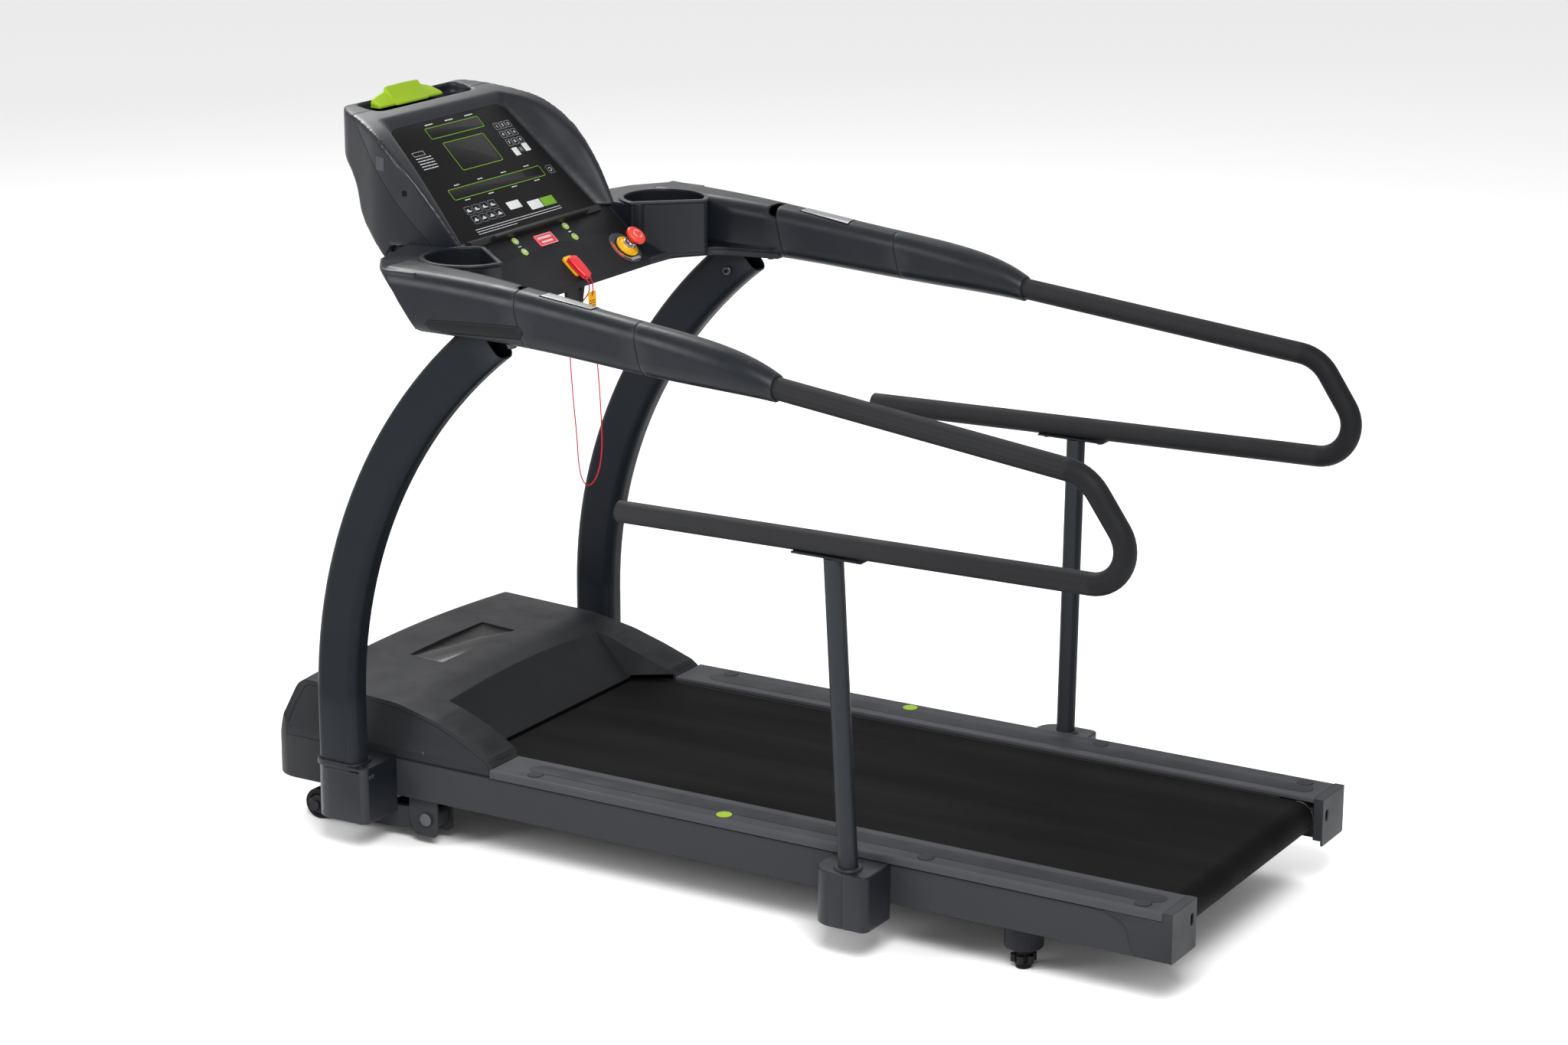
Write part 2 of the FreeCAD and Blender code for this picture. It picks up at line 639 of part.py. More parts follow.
def hood_sides():
    panel = prism("x", (HOOD_HALF - 45, HOOD_HALF), side_panel_outline(0.6))
    panel = panel.common(hood_lean(0.4)).cut(hood_lean(3.4))
    lug = box((HOOD_HALF - 24, HOOD_HALF - 3.0), (560, 640), (HOOD_SIDE_LOW, HOOD_SIDE_LOW + 3))
    return both_sides(panel.fuse(lug).removeSplitter())


# ---------------------------------------------------------------- uprights, posts and handrails
def upright_section(grow, z):
    depth = UPRIGHT_DEPTH / 2 + grow
    half = UPRIGHT_WIDTH / 2 + grow
    radius = UPRIGHT_CORNER_R + grow
    return outline("z", z,
                   [(UPRIGHT_X - half, UPRIGHT_Y - depth, radius),
                    (UPRIGHT_X + half, UPRIGHT_Y - depth, radius),
                    (UPRIGHT_X + half, UPRIGHT_Y + depth, radius),
                    (UPRIGHT_X - half, UPRIGHT_Y + depth, radius)])


def upright_solid(grow, foot_z, sweep):
    """The upright's straight foot and its arc, which leans back over the deck."""
    straight = Part.Face(upright_section(grow, foot_z)).extrude(V(0, 0, UPRIGHT_BEND_Z - foot_z))
    section = Part.Face(upright_section(grow, UPRIGHT_BEND_Z))
    arc = section.revolve(V(0, UPRIGHT_Y - UPRIGHT_BEND_R, UPRIGHT_BEND_Z), V(1, 0, 0), sweep)
    return straight.fuse(arc).removeSplitter()


def upright():
    outer = upright_solid(0, UPRIGHT_FOOT_Z, UPRIGHT_BEND_DEG)
    inner = upright_solid(-UPRIGHT_WALL, UPRIGHT_FOOT_Z, UPRIGHT_BEND_DEG)
    return outer.cut(inner)


def upright_socket():
    block = prism("z", (62, 167), [(FRAME_OUT + 0.1, 621, 2), (452, 621, 12), (452, 741, 38),
                                   (FRAME_OUT + 0.1, 741, 2)])
    bore = Part.Face(upright_section(0.1, UPRIGHT_FOOT_Z)).extrude(V(0, 0, 120))
    lip = Part.Face(upright_section(5, 161)).extrude(V(0, 0, 10))
    groove = prism("z", (158, 161), [(340, 600), (470, 600), (470, 760), (340, 760)])
    groove = groove.cut(Part.Face(upright_section(5.5, 157)).extrude(V(0, 0, 6)))
    rear_step = box((FRAME_OUT, 452), (610, 634), (158, 175))
    groove = groove.cut(rear_step)
    return fused([block, lip]).cut(groove).cut(bore)


def support_post():
    """A leaning round post with the plate that the lower handrail is screwed to."""
    pole = rod(POST_R, POST_FOOT, POST_HEAD)
    bore = rod(POST_R - 2, POST_FOOT, POST_HEAD)
    tube = pole.cut(bore)
    plate_half = (15.0, 66.0, 1.5)
    middle = V(POST_HEAD.x + 0.8, POST_HEAD.y + 6, 715.5)
    plate = box((middle.x - plate_half[0], middle.x + plate_half[0]),
                (middle.y - plate_half[1], middle.y + plate_half[1]),
                (middle.z - plate_half[2], middle.z + plate_half[2]))
    plate = plate.makeFillet(1.4, plate.Edges[:4])
    trimmed = tube.cut(box((380, 500), (-420, -280), (714, 760)))
    return fused([trimmed, plate]).cut(handrail(RAIL_TUBE_R))


def post_cover_halves():
    """The D-shaped block round the post's foot, in a front and a rear half that meet at a seam."""
    seam_y = -362.0
    body = prism("z", (64, 162), [(FRAME_OUT + 0.6, -408, 3), (441, -408, 14), (441, -298, 40),
                                  (FRAME_OUT + 0.6, -298, 3)])
    body = body.makeFillet(3, [edge for edge in body.Edges if edge.BoundBox.ZMin > 161])
    axis = (POST_HEAD - POST_FOOT).normalize()
    hole = rod(POST_R + 0.2, POST_FOOT - axis * 20, POST_HEAD)
    collar_seat = rod(24, V(408.2, -355.2, 160), V(408.2, -355.2, 170))
    body = body.cut(hole).cut(collar_seat)
    front = body.common(box((340, 460), (seam_y + 0.3, -280), (60, 170)))
    rear = body.common(box((340, 460), (-420, seam_y - 0.3), (60, 170)))
    return [front, rear]


def post_collar():
    axis = (POST_HEAD - POST_FOOT).normalize()
    body = rod(23.5, V(408.2, -355.2, 160), V(408.2, -355.2, 165.5))
    return body.cut(rod(POST_R + 0.2, POST_FOOT - axis * 20, POST_HEAD))


def handrail(radius):
    wire = open_path(HANDRAIL_CORNERS, [HANDRAIL_TOP_BEND_R, HANDRAIL_BOTTOM_BEND_R])
    start = HANDRAIL_CORNERS[0]
    heading = HANDRAIL_CORNERS[1] - start
    profile = Part.Wire(Part.makeCircle(radius, start, heading))
    return Part.Wire(wire).makePipeShell([profile], True, True)


def handrail_tube():
    return handrail(RAIL_TUBE_R).cut(handrail(RAIL_TUBE_R - RAIL_TUBE_WALL))


def handrail_plug():
    end = HANDRAIL_CORNERS[3]
    outward = (end - HANDRAIL_CORNERS[2]).normalize()
    head = rod(RAIL_TUBE_R, end, end + outward * 3)
    head = head.makeFillet(2, [head.Edges[0]])
    stem = rod(RAIL_TUBE_R - RAIL_TUBE_WALL - 0.1, end - outward * 18, end)
    return head.fuse(stem).removeSplitter()


# ---------------------------------------------------------------- console arms
ARM_STATIONS = [           # y, middle x, width, low z, high z, corner radius
    (-236, 443.3, 46, 960, 1006, 22),
    (-205, 444, 56, 963, 1020, 26),
    (20, 441, 64, 975, 1061, 27),
    (250, 432, 76, 990.5, 1087, 28),
    (380, 428, 92, 995, 1098, 28),
    (560, 428, 108, 1002, 1107, 28),
]
JOINT_LEAN = 0.235         # how far a joint line leans forward per mm of height
REAR_JOINT_Y = 10.0        # at the height JOINT_Z
FRONT_JOINT_Y = 246.0
JOINT_Z = 985.0
SEAM = 0.6


def arm_form(inset):
    wires = []
    for y, middle, width, low, high, radius in ARM_STATIONS:
        wires.append(rounded_section(y, middle, width - 2 * inset, low + inset, high - inset, radius - inset))
    return lofted(wires, False)


def arm_slab(start_y, end_y):
    """The space between two leaning joint planes."""
    low, high = 900.0, 1200.0

    def lean(y, z):
        return (y + (z - JOINT_Z) * JOINT_LEAN, z)

    return prism("x", (330, 520),
                 [lean(start_y, low), lean(end_y, low), lean(end_y, high), lean(start_y, high)])


ARM_SKIN = 3.0


def arm_sleeve():
    outer = arm_form(0).common(arm_slab(-300, REAR_JOINT_Y - SEAM))
    cavity = arm_form(ARM_SKIN).common(box((330, 520), (-190, 100), (900, 1200)))
    return outer.cut(cavity).cut(handrail(RAIL_TUBE_R + 0.1))


def pulse_plate_body():
    """The curved contact plate's envelope on the crest of the grip."""
    return box((418, 446), (124, 226), (1060, 1110))


def grip_cover():
    outer = arm_form(0).common(arm_slab(REAR_JOINT_Y + SEAM, FRONT_JOINT_Y - SEAM))
    shell = outer.cut(arm_form(ARM_SKIN))
    return shell.cut(pulse_plate_body())


def pulse_plate():
    skin = arm_form(-0.4).cut(arm_form(1.6))
    return skin.common(box((418.3, 445.7), (124.3, 225.7), (1060, 1112)))


# ---------------------------------------------------------------- console base
BASE_LOW = 992.0
BASE_SPLIT = 1002.0
DECK_TOP = 1100.0


def cup_outline(centre_x, centre_y, radius, flat, level):
    """A circle with one flat side, as a wire at a height."""
    facing = math.radians(CUP_FLAT_DEG)
    half_turn = math.acos(flat / radius)

    def rim(angle):
        return V(centre_x + radius * math.cos(angle), centre_y + radius * math.sin(angle), level)

    start = rim(facing + half_turn)
    back = rim(facing + math.pi)
    end = rim(facing - half_turn)
    return Part.Wire([Part.Arc(start, back, end).toShape(), Part.LineSegment(end, start).toShape()])


def cup_solid(shrink, low, high):
    face = Part.Face(cup_outline(CUP_X, CUP_Y, CUP_R - shrink, CUP_FLAT - shrink, low))
    return face.extrude(V(0, 0, high - low))


def cup_holder():
    outer = cup_solid(0, CUP_FLOOR - CUP_WALL, CUP_TOP)
    rim = cup_solid(-CUP_RIM, CUP_TOP - CUP_RIM, CUP_TOP)
    rim = rim.makeFillet(2.2, [edge for edge in rim.Edges if edge.BoundBox.ZMin > CUP_TOP - 1])
    inner = cup_solid(CUP_WALL, CUP_FLOOR, CUP_TOP + 5)
    return fused([outer, rim]).cut(inner)


def base_form(inset):
    """The console base: a sloping middle, a flat deck each side and the two arms' front ends."""
    skin = inset
    rear_y = PANEL_REAR[0]
    panel_end = PANEL_LENGTH - skin * 0.5
    wedge = prism("x", (-400, 400), [
        (rear_y + skin, BASE_LOW + skin), along_panel(skin * 1.5, -skin), along_panel(panel_end, -skin),
        (550, DECK_TOP - 4 - skin), (668 - skin, DECK_TOP - 8 - skin), (690 - skin, 1062), (650 - skin, 1018),
        (600, 1000 + skin)])
    plan = prism("z", (900, 1200), half_outline([
        (236, 690 - skin, 40), (300 - skin, 610 - skin, 40), (430 - skin, 560 - skin, 30), (430 - skin, 400),
        (340, rear_y - 20, 10), (250, rear_y - 20)]))
    wedge = wedge.common(plan)
    deck = prism("z", (BASE_LOW + 10 + skin, DECK_TOP - skin), [
        (242 + skin, 470 + skin), (470 - skin, 470 + skin), (474 - skin, 540 - skin, 34),
        (400, 592 - skin, 40),
        (300, 620 - skin, 30), (242 + skin, 640 - skin)])
    web = prism("z", (BASE_LOW + skin, BASE_LOW + 16 - skin), [
        (230, rear_y + skin), (300, rear_y - 4 + skin, 60), (372, rear_y - 60 + skin, 60), (396, 262 + skin),
        (440, 262 + skin), (440, 480), (230, 480)])
    nose = arm_form(skin).common(arm_slab(FRONT_JOINT_Y + SEAM, 700))
    nose_cut = prism("x", (330, 520),
                     [(458 - skin, 985), (536 - skin, 1110), (560, 1130), (640, 1130), (640, 900),
                                       (458 - skin, 900)])
    nose = nose.cut(nose_cut)
    boss = cup_solid(-2 + skin, BASE_LOW + 6 + skin, DECK_TOP - skin)
    half = [deck, web, nose, boss]
    return wedge.fuse(half + [mirrored(part) for part in half]).removeSplitter()


BASE_SKIN = 4.0


def console_base_whole():
    cavity = base_form(BASE_SKIN)
    form = base_form(0).cut(cavity)
    for cup in both_sides(cup_solid(0, CUP_FLOOR - CUP_WALL, CUP_TOP + 10)):
        form = form.cut(cup)
    for rim in both_sides(cup_solid(-CUP_RIM, CUP_TOP - CUP_RIM, CUP_TOP + 10)):
        form = form.cut(rim)
    for pillar in both_sides(upright_solid(0.2, 900, UPRIGHT_BEND_DEG + 8)):
        form = form.cut(pillar)
    for tube in both_sides(handrail(RAIL_TUBE_R + 0.2)):
        form = form.cut(tube)
    return form


def base_split():
    """The block that holds everything below the joint between the base's upper and lower covers."""
    return prism("x", (-520, 520),
                 [(150, 900), (720, 900), (720, 1064), (690, 1058), (644, 1012), (600, BASE_SPLIT),
                                    (150, BASE_SPLIT)])


# ---------------------------------------------------------------- console head
HEAD_SKIN = 3.0
FACE_DEPTH = 16.0          # how far the front casing reaches behind the display panel's face


def head_profile(inset):
    """The console head from the side (y, z): the rim's curve above, the housing's belly behind."""
    return [
        (528 + inset, 1098 + inset * 0.2), (570 + inset, 1162 - inset * 0.5, 60),
        (611 + inset * 0.7, 1213 - inset * 0.7, 90),
        (652 + inset * 0.6, 1251 - inset * 0.8, 90), (700, 1284 - inset, 120), (760, 1303 - inset, 120),
        (838 - inset, 1318 - inset, 14), (842 - inset, 1236 + inset * 0.4, 16),
        (800 - inset, 1211 + inset * 0.6, 30),
        (774 - inset, 1176, 40), (764 - inset, 1128, 50), (686 - inset, 1066 + inset),
        (668 - inset, 1093 + inset),
        (530 + inset, 1093.5 + inset)]


def head_plan(inset):
    """The console head from above: a shield, widest at mid height."""
    return half_outline([
        (244 - inset, 520), (266 - inset, 572, 60), (276 - inset, 640, 80), (262 - inset, 700, 80),
        (222 - inset, 772, 60), (196 - inset, 822 - inset, 30), (150, 846 - inset, 40)])


def head_form(inset):
    return prism("x", (-300, 300), head_profile(inset)).common(prism("z", (1050, 1350), head_plan(inset)))


def tilted_outline(half_low, half_high, low, high, height):
    """A four-cornered outline parallel to the display panel."""
    points = [V(-half_low, *along_overlay(low, height)), V(half_low, *along_overlay(low, height)),
              V(half_high, *along_overlay(high, height)), V(-half_high, *along_overlay(high, height))]
    return Part.makePolygon(points + points[:1])


OVERLAY_LENGTH = math.hypot(OVERLAY_HIGH[0] - OVERLAY_LOW[0], OVERLAY_HIGH[1] - OVERLAY_LOW[1])


def face_tray():
    """The dished space in front of the display panel, opening towards the rim."""
    below = 40.0
    low_half = OVERLAY_HALF_LOW + (OVERLAY_HALF_LOW - OVERLAY_HALF_HIGH) * below / OVERLAY_LENGTH
    floor = tilted_outline(low_half, OVERLAY_HALF_HIGH, -below, OVERLAY_LENGTH, -1.2)
    mouth = tilted_outline(low_half + 85, OVERLAY_HALF_HIGH + 85, -below, OVERLAY_LENGTH + 200, 80)
    return lofted([floor, mouth])


def behind_face():
    """Everything behind the joint between the head's front and rear casings."""
    low = along_overlay(-200, -FACE_DEPTH)
    high = along_overlay(330, -FACE_DEPTH)
    return prism("x", (-320, 320), [low, high, (900, high[1]), (900, 1000), (low[0], 1000)])


FAN_HALF = 152.0
FAN_Y = (776.0, 832.0)
FAN_RADIUS = 26.0
FAN_FLOOR = 1291.0
FAN_SKIN = 2.4
FAN_OUTLET = (84.0, 804.0, 824.0)   # half-width, front and rear of the outlet under the louvre
LOUVRE_PIVOT = (816.0, 1302.0)


def fan_outline(grow):
    """The sunken stadium round the fan outlet, seen from above."""
    front, rear = FAN_Y[0] - grow, FAN_Y[1] + grow
    half = FAN_HALF + grow
    radius = FAN_RADIUS + grow
    return [(-half, front, radius), (half, front, radius), (half, rear, radius), (-half, rear, radius)]


def fan_slot():
    return prism("z", (FAN_FLOOR, FAN_FLOOR + 50), fan_outline(0))


def fan_tray():
    """The floor and walls of the sunken stadium, open only at the outlet."""
    low = FAN_FLOOR - FAN_SKIN
    block = prism("z", (low, low + 40), fan_outline(FAN_SKIN)).common(head_form(0))
    half, front, rear = FAN_OUTLET
    return block.cut(fan_slot()).cut(box((-half, half), (front, rear), (low - 1, FAN_FLOOR + 1)))


def console_face():
    front = head_form(0).cut(behind_face()).cut(face_tray())
    return front.cut(base_form(0)).cut(fan_slot())


def console_shell():
    rear = head_form(0).common(behind_face())
    cavity = head_form(HEAD_SKIN).common(behind_face())
    port = box((-300, -250), (624, 638), (1186, 1194))
    casing = rear.cut(cavity).fuse(fan_tray().common(behind_face()))
    return casing.cut(port).cut(base_form(0)).cut(fan_slot())


def overlay_panel():
    low = OVERLAY_HALF_LOW - 0.5
    high = OVERLAY_HALF_HIGH - 0.5
    sheet = lofted([tilted_outline(low, high, 0, OVERLAY_LENGTH - 0.5, height) for height in (-1.2, 0)])
    return sheet.cut(base_form(0))


BOOK_LEDGE_LOW = -17.8


def book_ledge():
    """The lip at the foot of the display panel, taller over its middle."""
    half = 206.0
    strip = prism("x", (-half, half),
                  [along_overlay(BOOK_LEDGE_LOW, -1), along_overlay(-0.3, -1), along_overlay(-0.3, 5),
                   along_overlay(-6, 12), along_overlay(BOOK_LEDGE_LOW, 12)])
    lip = prism("x", (-150, 150),
                [along_overlay(BOOK_LEDGE_LOW, 10), along_overlay(-12, 10), along_overlay(-12, 24),
                 along_overlay(-15, 26), along_overlay(BOOK_LEDGE_LOW, 24)])
    ledge = fused([strip, lip]).cut(base_form(0)).cut(console_face())
    return max(ledge.Solids, key=lambda solid: solid.Volume)


def control_board():
    return prism("x", (-165, 165),
                 [along_overlay(62, -32), along_overlay(250, -32), along_overlay(250, -30.4),
                                    along_overlay(62, -30.4)])


def fan_louvre():
    """A flap across the fan outlet, with tapered ends."""
    pivot_y, pivot_z = LOUVRE_PIVOT
    flap = prism("y", (pivot_y - 30, pivot_y + 12), [
        (-97, pivot_z - 4, 2), (97, pivot_z - 4, 2), (92, pivot_z + 6, 4), (54, pivot_z + 30, 6),
        (-54, pivot_z + 30, 6),
        (-92, pivot_z + 6, 4)])
    blade = prism("x", (-120, 120), [(pivot_y - 14, pivot_z - 4, 3), (pivot_y + 10, pivot_z - 4, 3),
                                     (pivot_y + 12, pivot_z + 31, 4), (pivot_y + 2, pivot_z + 31, 3)])
    return flap.common(blade)


# ---------------------------------------------------------------- controls on the lower panel
BUTTON_R = 7.8
BUTTON_X = 81.0
BUTTON_STATIONS = {"up": 118.0, "down": 91.0}
STOP_DISTANCE = 104.0
STOP_HALF = (27.8, 12.7)
KEY_HALF = 26.0
BUTTON_DEPTH = 5.6
FLANGE_TOP = -4.4          # a flange under the panel's skin keeps each button in
ESTOP_X = 195.0
ESTOP_DISTANCE = 38.5
KEY_X = 9.0
KEY_DISTANCE = 23.0


def panel_rod(radius, x, distance, low, high):
    return rod(radius, panel_point(x, distance, low), panel_point(x, distance, high))


def panel_block(half_x, x, distance, half_length, low, high, corner):
    """A rounded block standing on the panel."""
    points = [(panel_point(x - half_x, distance - half_length, low), corner),
              (panel_point(x + half_x, distance - half_length, low), corner),
              (panel_point(x + half_x, distance + half_length, low), corner),
              (panel_point(x - half_x, distance + half_length, low), corner)]
    lift = panel_point(0, 0, high) - panel_point(0, 0, low)
    return Part.Face(closed_path(points)).extrude(lift)


def round_button(x, station):
    """A button with a low crown; its stem fills the hole through the panel."""
    distance = BUTTON_STATIONS[station]
    button = panel_rod(BUTTON_R, x, distance, -BUTTON_DEPTH, 1.6)
    button = button.makeFillet(0.7, [edge for edge in button.Edges
                                     if edge.CenterOfMass.distanceToPoint(panel_point(x, distance, 1.6)) < 1])
    flange = panel_rod(BUTTON_R + 1.6, x, distance, -BUTTON_DEPTH, FLANGE_TOP)
    return button.fuse(flange).removeSplitter()


def stop_button():
    half_x, half_length = STOP_HALF
    button = panel_block(half_x, 0, STOP_DISTANCE, half_length, -BUTTON_DEPTH, 1.8, 2)
    flange = panel_block(half_x + 2, 0, STOP_DISTANCE, half_length + 2, -BUTTON_DEPTH, FLANGE_TOP, 3)
    return button.fuse(flange).removeSplitter()


def panel_holes():
    gap = SKIN_GAP
    holes = [panel_block(STOP_HALF[0] + gap, 0, STOP_DISTANCE, STOP_HALF[1] + gap, -9, 9, 2.3)]
    for x in (-BUTTON_X, BUTTON_X):
        for distance in BUTTON_STATIONS.values():
            holes.append(panel_rod(BUTTON_R + gap, x, distance, -9, 9))
    return holes


def estop_base():
    plate = panel_rod(23, ESTOP_X, ESTOP_DISTANCE, 0, 3.5)
    collar = panel_rod(14.5, ESTOP_X, ESTOP_DISTANCE, 3.5, 9)
    sleeve = panel_rod(11.5, ESTOP_X, ESTOP_DISTANCE, 9, 17)
    bore = panel_rod(6.3, ESTOP_X, ESTOP_DISTANCE, 1.5, 20)
    return fused([plate, collar, sleeve]).cut(bore)


def estop_button():
    head = panel_rod(20, ESTOP_X, ESTOP_DISTANCE, 26, 37)
    head = head.makeFillet(4, [edge for edge in head.Edges if edge.Curve.TypeId == "Part::GeomCircle"])
    skirt = panel_rod(12.5, ESTOP_X, ESTOP_DISTANCE, 22.5, 26.5)
    stem = panel_rod(6, ESTOP_X, ESTOP_DISTANCE, 8, 27)
    return fused([head, skirt, stem])


def key_base():
    base = panel_block(14, KEY_X, KEY_DISTANCE + 10, 22, 0, 4.5, 6)
    pocket = panel_block(7.5, KEY_X, KEY_DISTANCE + 10, 12, 2.5, 6, 2)
    return base.cut(pocket)


def safety_key():
    """The magnetic key: a grip over the socket, narrower at its lower end, where the cord is tied."""
    low = KEY_DISTANCE - KEY_HALF
    high = KEY_DISTANCE + KEY_HALF
    outline_points = [(KEY_X - 10, low, 3), (KEY_X + 10, low, 3), (KEY_X + 14, high - 12, 20),
                      (KEY_X + 12, high, 4),
                      (KEY_X - 12, high, 4), (KEY_X - 14, high - 12, 20)]
    foot = closed_path([(panel_point(x, distance, 4.7), radius) for x, distance, radius in outline_points])
    lift = panel_point(0, 0, 15) - panel_point(0, 0, 4.7)
    grip = Part.Face(foot).extrude(lift)
    tongue = panel_block(7, KEY_X, KEY_DISTANCE + 10, 11.5, 2.8, 5, 2)
    return fused([grip, tongue])


# ---------------------------------------------------------------- lanyard
LANYARD_R = 1.2
LANYARD_ROUTE = [          # from the key's left eye, past the clip, round the loop and up to the right eye
    V(3, 432.5, 1008.1), V(3.5, 428, 1002.5), V(5, 427, 993), V(9, 431, 981), V(13, 441, 970),
    V(13.5, 450, 961), V(9, 457.5, 951), V(-6, 460.5, 936), V(-22, 456, 908), V(-33, 446, 872),
    V(-36, 441, 826), V(-31, 440, 772), V(-24, 439, 716), V(-19, 440, 664), V(-6, 441, 628),
    V(18, 440, 611), V(47, 439, 632), V(61, 440, 676), V(60, 441, 732), V(54, 440, 788),
    V(46, 439, 842), V(38, 438, 890), V(29, 437, 930), V(22, 435, 957), V(19, 433, 970),
    V(17, 427, 982), V(15.5, 427, 993), V(15, 428, 1002.5), V(15, 432.5, 1008.1)]


def cord_radii(points):
    """The largest arc each corner of a cord's route has room for."""
    radii = []
    for before, corner, after in zip(points, points[1:], points[2:]):
        shorter = min((before - corner).Length, (after - corner).Length)
        half_turn = (math.pi - (before - corner).getAngle(after - corner)) / 2
        radii.append(0.45 * shorter / math.tan(half_turn))
    return radii


def lanyard():
    radii = cord_radii(LANYARD_ROUTE)
    wire = open_path(LANYARD_ROUTE, radii)
    heading = LANYARD_ROUTE[1] - LANYARD_ROUTE[0]
    profile = Part.Wire(Part.makeCircle(LANYARD_R, LANYARD_ROUTE[0], heading))
    tube = wire.makePipeShell([profile], True, True)
    section = math.pi * LANYARD_R ** 2
    print("lanyard radii", [round(radius, 1) for radius in radii])
    print("lanyard length", round(wire.Length, 1), "volume ratio",
          round(tube.Volume / (section * wire.Length), 4))
    return tube


def lanyard_clip():
    """The clothing clip, parked under the console's rear edge: two jaws and their pivot."""
    top = BASE_LOW
    jaw = prism("y", (441, 444.5),
                [(-45, top, 2), (-9, top, 2), (-7, top - 8, 2), (0, top - 8, 2), (2, top, 2),
                                    (11, top, 2), (6, 972, 8), (1, 928, 5), (-34, 928, 5), (-41, 972, 8)])
    back = prism("y", (447.5, 451), [(-42, top, 2), (8, top, 2), (4, 972, 8), (-1, 932, 5), (-32, 932, 5),
                                     (-39, 972, 8)])
    pivot = rod(3.5, V(-38, 446, 970), V(3, 446, 970))
    return fused([jaw, back, pivot])


def lanyard_tag():
    plate = prism("y", (429.6, 430.4), [(5, 982, 2), (30, 982, 2), (31, 936, 2), (8, 936, 2)])
    return plate.cut(rod(2.6, V(18, 420, 975.5), V(18, 440, 975.5)))


# ---------------------------------------------------------------- small fittings
INLET_X = (-198.0, -164.0)
INLET_Z = (100.0, 128.0)
INLET_FACE = 921.0
SWITCH_X = (-262.0, -208.0)
SWITCH_FACE = 918.0


def power_inlet():
    """An appliance inlet in the hood's front: a recessed shroud with three flat pins."""
    face = INLET_FACE
    shroud = box(INLET_X, (face - 17, face), INLET_Z)
    shroud = shroud.cut(box((-194, -168), (face - 13, face + 1), (104, 124)))
    pins = [box((x, x + 2), (face - 14, face - 4), (z, z + 5))
            for x, z in ((-190, 107), (-174, 107), (-182, 116))]
    return fused([shroud] + pins)


def power_switch():
    """A rocker between its pivots, proud at one end."""
    back = SWITCH_FACE - 9.5
    return prism("x", (-256, -214), [(back, 103.5), (back + 4.5, 103.5, 1), (back + 5.5, 114, 8),
                                     (back + 8.5, 124.5, 1), (back, 124.5)])


def power_switch_frame():
    bezel = box(SWITCH_X, (SWITCH_FACE - 12, SWITCH_FACE), INLET_Z)
    return bezel.cut(box((-257, -213), (SWITCH_FACE - 13, SWITCH_FACE + 1), (101.5, 126.5)))


def bolt_head(centre, direction, radius=8.0, height=5.0):
    start = centre
    end = centre + direction * height
    head = rod(radius, start, end)
    rim = [edge for edge in head.Edges if edge.Curve.TypeId == "Part::GeomCircle"
           and edge.CenterOfMass.distanceToPoint(end) < 0.1]
    return head.makeFillet(height * 0.5, rim)


def frame_bolts():
    """Every visible bolt and screw head, with the two belt tension bolts."""
    tension = rod(TENSION_BOLT_R, V(TENSION_X, -922, ROLLER_Z), V(TENSION_X, -894.6, ROLLER_Z))
    tension_head = rod(5.5, V(TENSION_X, -925, ROLLER_Z), V(TENSION_X, -918, ROLLER_Z))
    down = V(0, 0, -1)
    outward = V(1, 0, 0)
    heads = [tension.fuse(tension_head).removeSplitter()]
    for y, z in ((-284.0, 714.0), (-392.0, 714.0)):
        heads.append(bolt_head(V(445.9, y, z), down, 6, 4))
    heads.append(bolt_head(V(HOOD_HALF - 0.4, 566, 179), outward, 4, 1.5))
    heads.append(bolt_head(V(431, 296, 991.5), V(0, -0.35, -1).normalize(), 10, 9))
    heads.append(bolt_head(V(UPRIGHT_X - UPRIGHT_WIDTH / 2, 372, 958), V(-1, 0, 0), 9, 6))
    heads.append(bolt_head(V(428, 621, 150), V(0, -1, 0), 4, 2))
    heads.append(bolt_head(V(436, 621, 150), V(0, -1, 0), 4, 2))
    solids = []
    for head in heads:
        solids += both_sides(head)
    return solids


